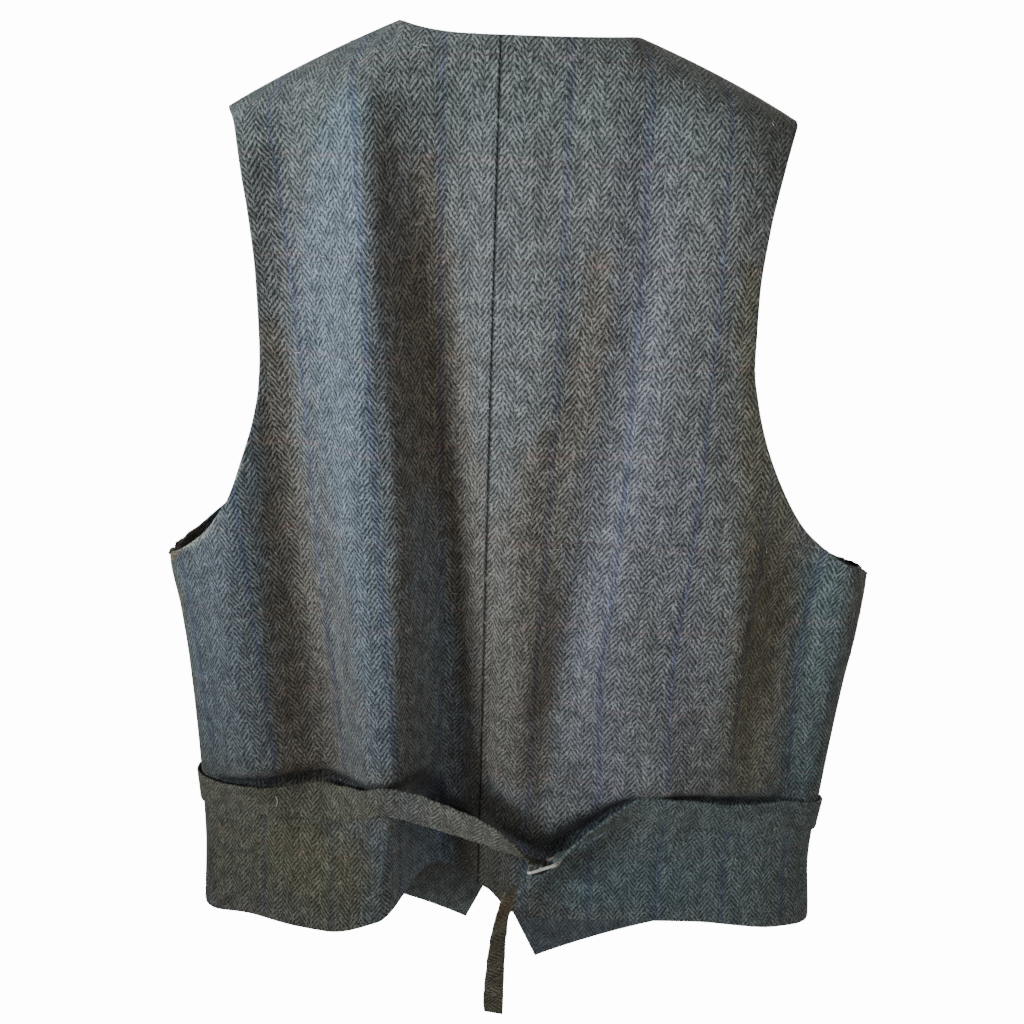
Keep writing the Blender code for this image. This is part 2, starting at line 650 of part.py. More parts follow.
# ---------------------------------------------------------------- buckle and buttons
def wire(name, points, cyclic, collection):
    """A round wire through points given in the buckle's plane."""
    curve = bpy.data.curves.new(name, "CURVE")
    curve.dimensions = "3D"
    curve.bevel_depth = BUCKLE_WIRE
    curve.bevel_resolution = 2
    curve.use_fill_caps = True
    line = curve.splines.new("POLY")
    line.points.add(len(points) - 1)
    for point, (along, up) in zip(line.points, points):
        point.co = (*(BUCKLE_PLACE + BUCKLE_ALONG * along + BUCKLE_UP * up), 1.0)
    line.use_cyclic_u = cyclic
    item = bpy.data.objects.new(name, curve)
    collection.objects.link(item)
    graph = bpy.context.evaluated_depsgraph_get()
    mesh = bpy.data.meshes.new_from_object(item.evaluated_get(graph))
    bpy.data.objects.remove(item, do_unlink=True)
    solid = bpy.data.objects.new(name, mesh)
    collection.objects.link(solid)
    return solid


def make_buckle(collection, material):
    half_along, half_up = BUCKLE_RAIL / 2.0, BUCKLE_HEIGHT / 2.0
    points = []
    for quarter, (sign_along, sign_up) in enumerate(((1, 1), (-1, 1), (-1, -1), (1, -1))):
        centre_along = sign_along * (half_along - BUCKLE_CORNER)
        centre_up = sign_up * (half_up - BUCKLE_CORNER)
        for step in range(4):
            angle = math.radians(90.0 * quarter + 30.0 * step)
            points.append((centre_along + BUCKLE_CORNER * math.cos(angle),
                           centre_up + BUCKLE_CORNER * math.sin(angle)))
    frame = wire("buckle", points, True, collection)
    bar = wire("buckle_centre_bar", [(0.0, -half_up), (0.0, half_up)], False, collection)
    join = frame.modifiers.new("bar", "BOOLEAN")
    join.operation = "UNION"
    join.solver = "EXACT"
    join.object = bar
    mesh = bake(frame)
    bpy.data.objects.remove(bar, do_unlink=True)
    mesh.materials.clear()
    mesh.materials.append(material)
    mesh.shade_smooth()


def front_face(side, x, drop):
    """Outer face of a front near the button line."""
    depth = smooth_table(SECTIONS, drop, "front_" + side)
    share = (abs(x) / ring_half_width(drop, x)) ** FRONT_RING_POWER
    return Vector((x, -depth * (1.0 - share) ** (1.0 / FRONT_RING_POWER), -drop))


def make_button(number, drop, collection, material):
    step = 0.006
    place = front_face("left", CENTRE_FRONT, drop)
    level = front_face("left", CENTRE_FRONT + step, drop) - front_face("left", CENTRE_FRONT - step, drop)
    rise = front_face("left", CENTRE_FRONT, drop - step) - front_face("left", CENTRE_FRONT, drop + step)
    out = level.cross(rise).normalized()
    if out.y > 0.0:
        out = -out
    level.normalize()
    turn = Matrix((level, out.cross(level), out)).transposed().to_4x4()
    mesh = bmesh.new()
    section = [mesh.verts.new((radius, 0.0, height)) for radius, height in BUTTON_SECTION]
    edges = [mesh.edges.new(pair) for pair in zip(section, section[1:])]
    bmesh.ops.spin(mesh, geom=section + edges, angle=math.tau, steps=16,
                   axis=(0.0, 0.0, 1.0), cent=(0.0, 0.0, 0.0))
    bmesh.ops.remove_doubles(mesh, verts=mesh.verts[:], dist=0.00001)
    bmesh.ops.recalc_face_normals(mesh, faces=mesh.faces[:])
    item = add_object("button_" + str(number), mesh, collection, material)
    drill = bmesh.new()
    for across_sign, up_sign in ((1, 1), (-1, 1), (-1, -1), (1, -1)):
        hole = Matrix.Translation((across_sign * BUTTON_HOLE_SPACING, up_sign * BUTTON_HOLE_SPACING, 0.0))
        bmesh.ops.create_cone(drill, cap_ends=True, segments=6, radius1=BUTTON_HOLE, radius2=BUTTON_HOLE,
                              depth=0.012, matrix=hole)
    cutter = add_object("thread_holes", drill, collection, material)
    cut = item.modifiers.new("thread_holes", "BOOLEAN")
    cut.operation = "DIFFERENCE"
    cut.solver = "EXACT"
    cut.object = cutter
    mesh = bake(item)
    bpy.data.objects.remove(cutter, do_unlink=True)
    mesh.transform(Matrix.Translation(place + out * BUTTON_LIFT) @ turn)


def main():
    clear_scene()
    collection = bpy.data.collections.new("waistcoat")
    bpy.context.scene.collection.children.link(collection)
    tweed = make_material("tweed")
    strap_tweed = make_material("strap_tweed")
    for side in ("left", "right"):
        make_back(side, collection, tweed)
        make_front(side, collection, tweed)
    spans = {side: [across(Vector(span.upper), Vector(span.lower)) for span in STRAP_SPANS[side]]
             for side in ("left", "right")}
    left = laid_stations("left") + spans["left"]
    make_strap("left", smooth_path(left, LAY_STEPS, 2)[:-1] + loop_stations(), collection, strap_tweed)
    right = laid_stations("right") + spans["right"] + tail_stations()
    make_strap("right", smooth_path(right, LAY_STEPS, 2), collection, strap_tweed)
    make_buckle(collection, make_material("buckle_metal"))
    horn = make_material("button_horn")
    for number, drop in enumerate(BUTTON_DROPS, 1):
        make_button(number, drop, collection, horn)


main()
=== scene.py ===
import math
import random

import bmesh
import bpy
import numpy as np
from mathutils import Matrix, Vector


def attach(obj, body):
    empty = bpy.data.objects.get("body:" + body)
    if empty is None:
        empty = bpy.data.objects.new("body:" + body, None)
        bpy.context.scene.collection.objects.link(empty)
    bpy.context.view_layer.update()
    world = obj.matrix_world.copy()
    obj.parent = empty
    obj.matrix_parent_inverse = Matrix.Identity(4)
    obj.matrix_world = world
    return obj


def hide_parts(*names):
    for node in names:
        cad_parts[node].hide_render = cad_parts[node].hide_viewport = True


# A tweed waistcoat that hangs from its neck. Metres; +X is the wearer's left, +Y is behind the wearer.
# A drop is a distance below the neck, a share runs from 0 at the centre line to 1 at the side seam.
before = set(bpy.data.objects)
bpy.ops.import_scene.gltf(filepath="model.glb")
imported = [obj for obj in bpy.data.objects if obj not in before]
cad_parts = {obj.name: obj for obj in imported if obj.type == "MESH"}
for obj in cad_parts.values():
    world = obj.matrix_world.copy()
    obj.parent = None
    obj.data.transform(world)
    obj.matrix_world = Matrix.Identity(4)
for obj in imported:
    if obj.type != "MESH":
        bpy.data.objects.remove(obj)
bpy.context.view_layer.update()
random.seed(11)
sideSign = {"left": 1.0, "right": -1.0}
print("frame loaded")


bodyPlan = {
    "cloth": 0.0020,
    "backPower": 2.9,
    "frontPower": 2.4,
    "samples": 200,
    "underarm": 0.357,
    "centreFront": -0.012,
    "capDrop": 0.045,
    "shoulderSeamY": 0.005,
    "shoulderBow": 0.002,
    "neckBackY": 0.040,
    "rollRadius": 0.00095,          # round of a turned edge
    "seamOverlap": 0.00015,         # panels pass their seam lines by this, so no light comes through
    "cornerRise": 0.015, "cornerReach": 0.036,           # hem corners at the side seams
    # drop, half widths left and right, depth of the back and of both fronts
    "sections": (
        (-0.010, 0.196, 0.210, 0.046, 0.034, 0.034),
        (0.060, 0.198, 0.214, 0.054, 0.046, 0.046),
        (0.170, 0.205, 0.230, 0.061, 0.062, 0.060),
        (0.270, 0.216, 0.252, 0.060, 0.068, 0.066),
        (0.357, 0.2262, 0.2705, 0.057, 0.068, 0.066),
        (0.395, 0.2205, 0.2685, 0.057, 0.066, 0.064),
        (0.440, 0.2160, 0.2635, 0.056, 0.064, 0.062),
        (0.520, 0.2120, 0.2575, 0.053, 0.058, 0.055),
        (0.580, 0.2110, 0.2540, 0.053, 0.056, 0.047),
        (0.650, 0.2140, 0.2600, 0.053, 0.058, 0.036),
        (0.720, 0.2140, 0.2600, 0.053, 0.062, 0.028)),
    "sectionColumns": {"left": 1, "right": 2, "back": 3, "front_left": 4, "front_right": 5},
    # drop, then the cloth's width to the armhole on the back's and the fronts' left and right
    "armholes": (
        (0.053, 0.1745, 0.1900, 0.1865, 0.1780),
        (0.062, 0.1669, 0.1857, 0.1790, 0.1745),
        (0.075, 0.1624, 0.1808, 0.1740, 0.1700),
        (0.095, 0.1581, 0.1755, 0.1690, 0.1660),
        (0.120, 0.1542, 0.1711, 0.1645, 0.1620),
        (0.155, 0.1507, 0.1678, 0.1590, 0.1580),
        (0.200, 0.1495, 0.1686, 0.1570, 0.1575),
        (0.225, 0.1509, 0.1735, 0.1580, 0.1600),
        (0.250, 0.1556, 0.1812, 0.1620, 0.1650),
        (0.275, 0.1636, 0.1922, 0.1690, 0.1730),
        (0.300, 0.1732, 0.2066, 0.1800, 0.1850),
        (0.315, 0.1830, 0.2180, 0.1910, 0.1980),
        (0.327, 0.1925, 0.2310, 0.2050, 0.2120),
        (0.338, 0.2050, 0.2470, 0.2200, 0.2255),
        (0.349, 0.2222, 0.2745, 0.2370, 0.2385),
        (0.354, 0.2340, 0.2850, 0.2500, 0.2490)),
    "armholeColumns": {"back_left": 1, "back_right": 2, "front_left": 3, "front_right": 4},
    "shoulders": {
        "left": {"neckX": 0.064, "neckDrop": -0.0015, "tipDrop": 0.053, "centreDrop": 0.007},
        "right": {"neckX": 0.086, "neckDrop": 0.0040, "tipDrop": 0.050, "centreDrop": 0.007},
    },
    # share, then the back hem's drop on the left and on the right
    "backHem": (
        (0.00, 0.613, 0.612), (0.03, 0.611, 0.610), (0.08, 0.609, 0.6165), (0.13, 0.609, 0.6200),
        (0.20, 0.611, 0.621), (0.30, 0.621, 0.621), (0.50, 0.628, 0.622), (0.70, 0.631, 0.626),
        (0.86, 0.640, 0.635), (1.00, 0.650, 0.646)),
    # drop, then the inner edge of the left and the right front
    "frontEdges": (
        (-0.002, 0.064, -0.086), (0.090, 0.046, -0.068), (0.180, 0.022, -0.044),
        (0.250, -0.015, -0.007), (0.285, -0.025, 0.001), (0.600, -0.025, 0.001),
        (0.645, -0.013, -0.014), (0.720, 0.018, -0.050)),
    "pointDrop": {"left": 0.704, "right": 0.716},
    "frontSideDrop": {"left": 0.650, "right": 0.646},
    "frontHemPower": {"left": 1.7, "right": 1.15},
    "lapStep": 0.0027,
    "lapOverlap": 0.013,
    "lapFade": 0.060,
}

# folds of the back: drop, x, height, reach to the left and to the right
backFolds = {
    "ridge": (
        (0.030, 0.088, 0.000, 0.040, 0.030), (0.165, 0.071, 0.010, 0.050, 0.032),
        (0.270, 0.062, 0.014, 0.052, 0.034), (0.365, 0.058, 0.016, 0.050, 0.034),
        (0.500, 0.058, 0.016, 0.048, 0.030), (0.540, 0.062, 0.012, 0.060, 0.030),
        (0.660, 0.072, 0.010, 0.060, 0.030)),
    "valley": (
        (0.060, 0.052, 0.000, 0.030, 0.040), (0.165, 0.040, -0.006, 0.032, 0.046),
        (0.270, 0.034, -0.012, 0.032, 0.050), (0.365, 0.028, -0.018, 0.034, 0.056),
        (0.480, 0.026, -0.028, 0.036, 0.066), (0.560, 0.030, -0.044, 0.040, 0.068),
        (0.660, 0.034, -0.058, 0.040, 0.068)),
    "skirtBulge": (
        (0.515, 0.105, 0.000, 0.080, 0.046), (0.580, 0.108, 0.012, 0.086, 0.046),
        (0.660, 0.110, 0.018, 0.092, 0.048)),
    "sideTrough": (
        (0.200, 0.138, 0.000, 0.030, 0.034), (0.300, 0.130, -0.006, 0.034, 0.034),
        (0.450, 0.118, -0.008, 0.038, 0.034), (0.520, 0.116, -0.006, 0.040, 0.034),
        (0.570, 0.116, 0.000, 0.040, 0.034)),
    "flankRidge": (
        (0.330, 0.168, 0.000, 0.036, 0.034), (0.420, 0.166, 0.006, 0.036, 0.036),
        (0.500, 0.162, 0.008, 0.036, 0.036), (0.560, 0.162, 0.000, 0.036, 0.036)),
    "rightInnerRidge": (
        (0.090, -0.034, 0.000, 0.030, 0.028), (0.200, -0.034, 0.0035, 0.032, 0.030),
        (0.380, -0.020, 0.003, 0.030, 0.030), (0.500, -0.016, 0.000, 0.030, 0.030)),
    "rightTrough": (
        (0.110, -0.066, 0.000, 0.026, 0.030), (0.200, -0.062, -0.004, 0.028, 0.032),
        (0.330, -0.048, -0.005, 0.028, 0.032), (0.470, -0.052, -0.003, 0.030, 0.034),
        (0.540, -0.060, 0.000, 0.030, 0.034)),
    "rightRidge": (
        (0.120, -0.104, 0.000, 0.034, 0.050), (0.250, -0.102, 0.005, 0.036, 0.056),
        (0.400, -0.096, 0.006, 0.036, 0.060), (0.505, -0.124, 0.008, 0.050, 0.050),
        (0.570, -0.124, 0.000, 0.050, 0.050)),
    "rightFlankTrough": (
        (0.280, -0.188, 0.000, 0.030, 0.030), (0.380, -0.200, -0.007, 0.034, 0.032),
        (0.480, -0.192, -0.006, 0.036, 0.034), (0.545, -0.180, 0.000, 0.036, 0.034)),
    "rightBlouse": (
        (0.400, -0.215, 0.000, 0.060, 0.030), (0.490, -0.225, 0.004, 0.060, 0.030),
        (0.520, -0.225, 0.000, 0.060, 0.030)),
    "rightSkirtWave": (
        (0.540, -0.210, 0.000, 0.050, 0.036), (0.650, -0.214, 0.006, 0.050, 0.036)),
}

# sharper creases on the back's folds, where light and dark meet: drop, x, height (- is a trough), width
creaseFade = {"start": 0.015, "full": 0.060, "leave": 0.500, "end": 0.540}
backCreases = {
    "flankCrest": ((0.130, 0.170, 0.008, 0.020), (0.320, 0.175, 0.008, 0.020), (0.430, 0.180, 0.006, 0.020)),
    "leftTrough": (
        (0.130, 0.130, -0.008, 0.020), (0.320, 0.130, -0.008, 0.020), (0.500, 0.110, -0.008, 0.020)),
    "ridgeCrest": (
        (0.130, 0.080, 0.008, 0.015), (0.320, 0.085, 0.008, 0.015), (0.500, 0.075, 0.008, 0.015)),
    "valleyFloor": (
        (0.130, 0.025, -0.008, 0.025), (0.320, 0.025, -0.006, 0.025), (0.500, 0.015, -0.006, 0.025)),
    "diagonalCrest": (
        (0.130, -0.070, 0.003, 0.018), (0.210, -0.065, 0.005, 0.018), (0.320, -0.050, 0.004, 0.015),
        (0.500, -0.010, 0.002, 0.015)),
    "diagonalTrough": (
        (0.130, -0.095, -0.002, 0.015), (0.210, -0.090, -0.006, 0.015), (0.320, -0.075, -0.005, 0.015),
        (0.500, -0.045, -0.005, 0.015)),
    "rightCrest": ((0.130, -0.145, 0.006, 0.030), (0.320, -0.145, 0.006, 0.030),
                   (0.500, -0.135, 0.004, 0.025)),
    "rightFlankCrest": ((0.250, -0.170, 0.000, 0.018), (0.350, -0.175, 0.006, 0.018)),
    "rightFlankTrough": ((0.250, -0.220, 0.000, 0.018), (0.350, -0.225, -0.010, 0.018)),
}

# creases of each panel: points as (x, drop), depth (- is a trough) and width
creases = {
    "back": (
        {"path": ((0.060, 0.520), (0.058, 0.580), (0.062, 0.622)), "depth": 0.0016, "width": 0.007},
        {"path": ((-0.070, 0.550), (-0.066, 0.590), (-0.064, 0.622)), "depth": -0.0016, "width": 0.012},
    ),
    "front": (
        {"path": ((0.070, 0.270), (0.085, 0.400), (0.075, 0.500)), "depth": -0.0030, "width": 0.016},
        {"path": ((0.110, 0.330), (0.128, 0.430), (0.120, 0.560)), "depth": 0.0034, "width": 0.020},
        {"path": ((-0.080, 0.250), (-0.100, 0.390), (-0.092, 0.540)), "depth": -0.0032, "width": 0.018},
        {"path": ((-0.140, 0.320), (-0.152, 0.450), (-0.140, 0.600)), "depth": 0.0034, "width": 0.022},
        {"path": ((0.004, 0.340), (0.030, 0.352), (0.058, 0.348)), "depth": 0.0012, "width": 0.007},
        {"path": ((-0.030, 0.418), (-0.054, 0.430), (-0.078, 0.424)), "depth": 0.0011, "width": 0.007},
    ),
}

# where the cinch draws the cloth in: points as (x, drop), then the groove and the blousing above it
pinchPlan = {
    "paths": (
        ((0.205, 0.525), (0.160, 0.515), (0.100, 0.515), (0.050, 0.510), (0.030, 0.555), (-0.045, 0.565)),
        ((-0.045, 0.565), (-0.075, 0.545), (-0.105, 0.520), (-0.140, 0.515), (-0.205, 0.525),
         (-0.235, 0.530))),
    "groove": -0.0065, "grooveWidth": 0.0055,
    "blouse": 0.0028, "blouseAbove": 0.0150, "blouseWidth": 0.0110,
}

# colour multipliers of the cloth, partly its own tints and partly painted light and shade: bands on the
# folds' lit slopes are lighter and bluer (painted highlight), bands on their shaded slopes and in the troughs
# browner and darker (painted shade), and the darkest bands are painted shadow at the straps; points as (x,
# drop, half width)
tintAndPaintedLightTable = {
    "brown": (1.00, 0.89, 0.78), "moss": (0.97, 0.91, 0.71), "slate": (1.02, 1.15, 1.30),
    "lilac": (1.10, 1.09, 1.21),
    "olive": (0.93, 0.90, 0.72), "teal": (0.80, 0.97, 1.01), "pale": (1.24, 1.21, 1.10),
    "paintedStrapShadow": (0.62, 0.56, 0.47),
    "paintedShadow": (0.34, 0.34, 0.37), "plain": (1.0, 1.0, 1.0), "fern": (0.98, 1.03, 1.10),
    "straw": (1.05, 1.05, 0.92), "steel": (0.84, 0.95, 1.06),
    "gloom": (0.92, 1.01, 1.12), "sage": (0.89, 0.95, 0.93),
    "cream": (2.30, 2.15, 1.80), "tan": (1.80, 1.30, 0.88), "rust": (1.15, 0.84, 0.60),
}
tintAndPaintedLightBands = {
    "back": (
        ("sage", 1.0, ((0.160, 0.066, 0.034), (0.080, 0.036, 0.040), (-0.090, 0.036, 0.040),
                       (-0.180, 0.070, 0.034))),
        # painted shade: the brown bands below lie on the folds' shaded slopes and in the valley
        ("brown", 1.0, ((0.142, 0.190, 0.009), (0.137, 0.300, 0.013), (0.131, 0.371, 0.017),
                        (0.121, 0.500, 0.022))),
        ("brown", 1.0, ((0.044, 0.085, 0.006), (0.039, 0.166, 0.018), (0.033, 0.230, 0.021),
                        (0.020, 0.298, 0.020),
                        (0.010, 0.369, 0.015), (-0.004, 0.507, 0.010))),
        ("brown", 0.9, ((-0.067, 0.136, 0.007), (-0.064, 0.173, 0.011), (-0.060, 0.224, 0.010),
                        (-0.040, 0.271, 0.020),
                        (-0.028, 0.320, 0.024), (-0.027, 0.422, 0.022), (-0.028, 0.500, 0.016))),
        ("moss", 0.9, ((-0.157, 0.140, 0.006), (-0.166, 0.223, 0.007), (-0.184, 0.290, 0.018),
                       (-0.194, 0.370, 0.020),
                        (-0.190, 0.500, 0.016))),
        # painted highlight: the slate and lilac bands below lie on the folds' lit slopes
        ("slate", 1.0, ((0.092, 0.054, 0.012), (0.099, 0.105, 0.020), (0.098, 0.165, 0.026),
                        (0.093, 0.227, 0.024),
                        (0.084, 0.293, 0.020), (0.077, 0.363, 0.013), (0.066, 0.480, 0.010))),
        ("steel", 0.9, ((0.160, 0.200, 0.012), (0.166, 0.300, 0.018), (0.186, 0.370, 0.036),
                        (0.184, 0.500, 0.032))),
        ("lilac", 0.9, ((-0.092, 0.060, 0.016), (-0.094, 0.236, 0.022), (-0.086, 0.304, 0.026),
                        (-0.076, 0.376, 0.024),
                        (-0.085, 0.500, 0.026))),
        ("lilac", 0.7, ((-0.126, 0.270, 0.014), (-0.134, 0.376, 0.018), (-0.136, 0.480, 0.016))),
        ("slate", 1.0, ((0.040, 0.300, 0.010), (0.032, 0.400, 0.016), (0.026, 0.480, 0.018),
                        (0.036, 0.600, 0.018))),
        ("teal", 1.0, ((-0.236, 0.352, 0.020), (-0.240, 0.420, 0.022), (-0.236, 0.500, 0.020))),
        ("olive", 1.0, ((0.200, 0.568, 0.060), (0.130, 0.575, 0.050))),
        ("straw", 0.8, ((0.130, 0.560, 0.030), (0.094, 0.600, 0.028))),
        ("slate", 0.8, ((0.070, 0.550, 0.008), (0.076, 0.625, 0.010))),
        ("gloom", 1.0, ((0.046, 0.545, 0.016), (0.046, 0.575, 0.022), (0.040, 0.625, 0.026))),
        ("moss", 1.0, ((0.2262, 0.360, 0.008), (0.218, 0.420, 0.007), (0.214, 0.500, 0.005))),
        ("cream", 1.0, ((0.2105, 0.3445, 0.0020), (0.2010, 0.3370, 0.0026), (0.1905, 0.3265, 0.0022),
                        (0.1800, 0.3120, 0.0016), (0.1640, 0.2750, 0.0010))),
        ("tan", 1.0, ((0.2265, 0.3580, 0.0034), (0.2150, 0.3490, 0.0022))),
        # painted shadow under the left strap's lower edge
        ("paintedShadow", 0.45, ((0.1620, 0.5425, 0.0018), (0.1280, 0.5420, 0.0020), (0.0980, 0.5420, 0.0018))),
        ("teal", 1.0, ((-0.078, 0.582, 0.040), (-0.150, 0.578, 0.058), (-0.250, 0.580, 0.068))),
        ("fern", 0.9, ((-0.088, 0.586, 0.024), (-0.140, 0.590, 0.024))),
        # painted shadow of the straps and the buckle on the back below them
        ("paintedStrapShadow", 1.0, ((0.004, 0.552, 0.014), (-0.004, 0.578, 0.024), (-0.006, 0.610, 0.026))),
        # painted shadow in the gap above the straps' upper edges, along the cinch
        ("paintedShadow", 1.0, ((0.1900, 0.5220, 0.0030), (0.1598, 0.5158, 0.0042), (0.1306, 0.5168, 0.0042),
                       (0.1018, 0.5166, 0.0040), (0.0732, 0.5022, 0.0040), (0.0490, 0.5060, 0.0070),
                       (0.0307, 0.5500, 0.0110), (0.0033, 0.5560, 0.0110), (-0.0233, 0.5560, 0.0110),
                       (-0.0455, 0.5620, 0.0110), (-0.0633, 0.5505, 0.0110), (-0.0772, 0.5385, 0.0105),
                       (-0.0910, 0.5280, 0.0085), (-0.1046, 0.5195, 0.0055), (-0.1185, 0.5150, 0.0024),
                       (-0.1441, 0.5145, 0.0036), (-0.1738, 0.5185, 0.0040), (-0.2050, 0.5250, 0.0038),
                       (-0.2365, 0.5290, 0.0026))),
    ),
    "front": (
        ("brown", 0.4, ((0.060, 0.120, 0.016), (0.055, 0.650, 0.018))),
        ("slate", 0.3, ((0.110, 0.120, 0.020), (0.105, 0.650, 0.022))),
        ("brown", 0.4, ((0.160, 0.280, 0.016), (0.158, 0.640, 0.018))),
        ("brown", 0.4, ((-0.075, 0.120, 0.016), (-0.080, 0.650, 0.018))),
        ("slate", 0.3, ((-0.125, 0.120, 0.020), (-0.130, 0.650, 0.022))),
        ("brown", 0.4, ((-0.180, 0.300, 0.016), (-0.186, 0.640, 0.018))),
        ("tan", 0.8, ((0.2262, 0.3570, 0.0040), (0.2130, 0.3500, 0.0030))),
        ("pale", 1.0, ((0.034, 0.640, 0.034), (0.026, 0.704, 0.034))),
    ),
}


def smoothValues(keys, values, at):
    # monotone cubic, level beyond its ends
    keys, values = np.asarray(keys, float), np.asarray(values, float)
    at = np.clip(at, keys[0], keys[-1])
    steps = np.diff(keys)
    slopes = np.diff(values) / steps
    tangents = np.concatenate(([slopes[0]], np.zeros(len(slopes) - 1), [slopes[-1]]))
    product = slopes[:-1] * slopes[1:]
    total = np.where(product > 0.0, slopes[:-1] + slopes[1:], 1.0)
    tangents[1:-1] = np.where(product > 0.0, 2.0 * product / total, 0.0)
    index = np.clip(np.searchsorted(keys, at, side="right") - 1, 0, len(steps) - 1)
    step = steps[index]
    u = (at - keys[index]) / step
    start, end = values[index], values[index + 1]
    return (start * (1 + 2 * u) * (1 - u) ** 2 + end * u * u * (3 - 2 * u)
            + step * u * (1 - u) * (tangents[index] * (1 - u) - tangents[index + 1] * u))


def fromTable(rows, column, at):
    table = np.array(rows)
    return smoothValues(table[:, 0], table[:, column], at)


def sectionSize(name, drop):
    return fromTable(bodyPlan["sections"], bodyPlan["sectionColumns"][name], drop)


def halfWidth(drop, x):
    return np.where(x >= 0.0, sectionSize("left", drop), sectionSize("right", drop))


def bump(u):
    return np.where(np.abs(u) < 1.0, 0.5 * (1.0 + np.cos(np.pi * np.clip(u, -1.0, 1.0))), 0.0)


def ringPoint(drop, depth, power, startX, side, widthOf):
    # the point that lies widthOf(whole length) along the plan curve, from startX towards the side seam
    sign = sideSign[side]
    share = np.minimum(1.0, np.abs(startX) / halfWidth(drop, startX))
    startAngle = np.arcsin(share ** (power / 2.0)) * np.where(startX * sign >= 0.0, 1.0, -1.0)
    run = np.linspace(0.0, 1.0, bodyPlan["samples"] + 1)
    angle = startAngle[:, None] + (math.pi / 2.0 - startAngle[:, None]) * run
    width = np.where(angle >= 0.0, sectionSize(side, drop)[:, None],
                     halfWidth(drop, -sign * np.ones_like(drop))[:, None])
    x = sign * np.sign(angle) * width * np.abs(np.sin(angle)) ** (2.0 / power)
    y = depth[:, None] * np.maximum(0.0, np.cos(angle)) ** (2.0 / power)
    lengths = np.zeros_like(x)
    lengths[:, 1:] = np.cumsum(np.hypot(np.diff(x, axis=1), np.diff(y, axis=1)), axis=1)
    along = np.clip(widthOf(lengths[:, -1]), 0.0, lengths[:, -1])
    index = np.clip((lengths[:, :-1] <= along[:, None]).sum(axis=1) - 1, 0, len(run) - 2)
    row = np.arange(len(drop))
    u = (along - lengths[row, index]) / (lengths[row, index + 1] - lengths[row, index])
    return (x[row, index] * (1 - u) + x[row, index + 1] * u,
            y[row, index] * (1 - u) + y[row, index + 1] * u, lengths[:, -1])


def armholeWidth(panel, drop, full):
    column = bodyPlan["armholeColumns"][panel]
    table = np.array(bodyPlan["armholes"])
    inside = np.minimum(smoothValues(table[:, 0], table[:, column], drop), full)
    last = table[-1]
    u = np.clip((drop - last[0]) / (bodyPlan["underarm"] - last[0]), 0.0, 1.0)
    inside = np.where(drop > last[0], last[column] + (full - last[column]) * u * u * (3.0 - 2.0 * u), inside)
    return np.where(drop >= bodyPlan["underarm"], full, np.minimum(inside, full))


def foldHeight(x, drop):
    total = np.zeros_like(x)
    for rows in backFolds.values():
        centre, height = fromTable(rows, 1, drop), fromTable(rows, 2, drop)
        reach = np.where(x >= centre, fromTable(rows, 3, drop), fromTable(rows, 4, drop))
        total += height * bump((x - centre) / reach)
    return total * (1.0 - np.minimum(1.0, np.abs(x) / halfWidth(drop, x)) ** 10)


def nearPath(path, x, drop):
    # distance from a line of (x, drop) points, share of the way along it, and its third value there
    path = np.array(path)
    lengths = np.hypot(*np.diff(path[:, :2], axis=0).T)
    nearest, run, third = np.full_like(x, 9.0), np.zeros_like(x), np.zeros_like(x)
    for number, length in enumerate(lengths):
        start, along = path[number], (path[number + 1, :2] - path[number, :2]) / length
        t = np.clip((x - start[0]) * along[0] + (drop - start[1]) * along[1], 0.0, length)
        distance = np.hypot(x - start[0] - along[0] * t, drop - start[1] - along[1] * t)
        closer = distance < nearest
        nearest = np.where(closer, distance, nearest)
        run = np.where(closer, (lengths[:number].sum() + t) / lengths.sum(), run)
        if path.shape[1] > 2:
            third = np.where(closer, start[2] + (path[number + 1, 2] - start[2]) * t / length, third)
    return nearest, run, third


def creaseHeight(panelKind, x, drop):
    total = np.zeros_like(x)
    if panelKind == "back":
        fade = smoothValues(list(creaseFade.values()), (0.0, 1.0, 1.0, 0.0), drop)
        for rows in backCreases.values():
            centre, height, width = (fromTable(rows, column, drop) for column in (1, 2, 3))
            total += fade * height * np.exp(-((x - centre) / width) ** 2)
    for crease in creases[panelKind]:
        nearest, run, _ = nearPath(crease["path"], x, drop)
        fade = np.sin(math.pi * np.clip(run, 0.01, 0.99)) ** 0.55
        total += crease["depth"] * np.exp(-(nearest / crease["width"]) ** 2) * fade
    return total


def pinchHeight(x, drop):
    total = np.zeros_like(x)
    for path in pinchPlan["paths"]:
        nearest, run, _ = nearPath(path, x, drop)
        raised, _, _ = nearPath([(x0, y0 - pinchPlan["blouseAbove"]) for x0, y0 in path], x, drop)
        fade = np.clip(np.minimum(run, 1.0 - run) / 0.08, 0.25, 1.0)
        total += fade * (pinchPlan["groove"] * np.exp(-(nearest / pinchPlan["grooveWidth"]) ** 2)
                         + pinchPlan["blouse"] * np.exp(-(raised / pinchPlan["blouseWidth"]) ** 2))
    return total


def tintAndPaintedLightAt(panelKind, x, drop):
    # the cloth's tints together with painted light and shade, laid on in bands
    colour = np.ones(x.shape + (3,))
    waver = 0.002 * np.sin(drop * 95.0 + x * 40.0) + 0.0012 * np.sin(drop * 260.0 - x * 130.0)
    for tintAndPaintedLight, strength, path in tintAndPaintedLightBands[panelKind]:
        nearest, _, half = nearPath(path, x + waver, drop)
        mask = np.clip((1.6 - nearest / half) / 1.2, 0.0, 1.0)
        mask = (mask * mask * (3.0 - 2.0 * mask) * strength)[..., None]
        colour = colour * (1.0 - mask) + colour * np.array(tintAndPaintedLightTable[tintAndPaintedLight]) * mask
    return colour


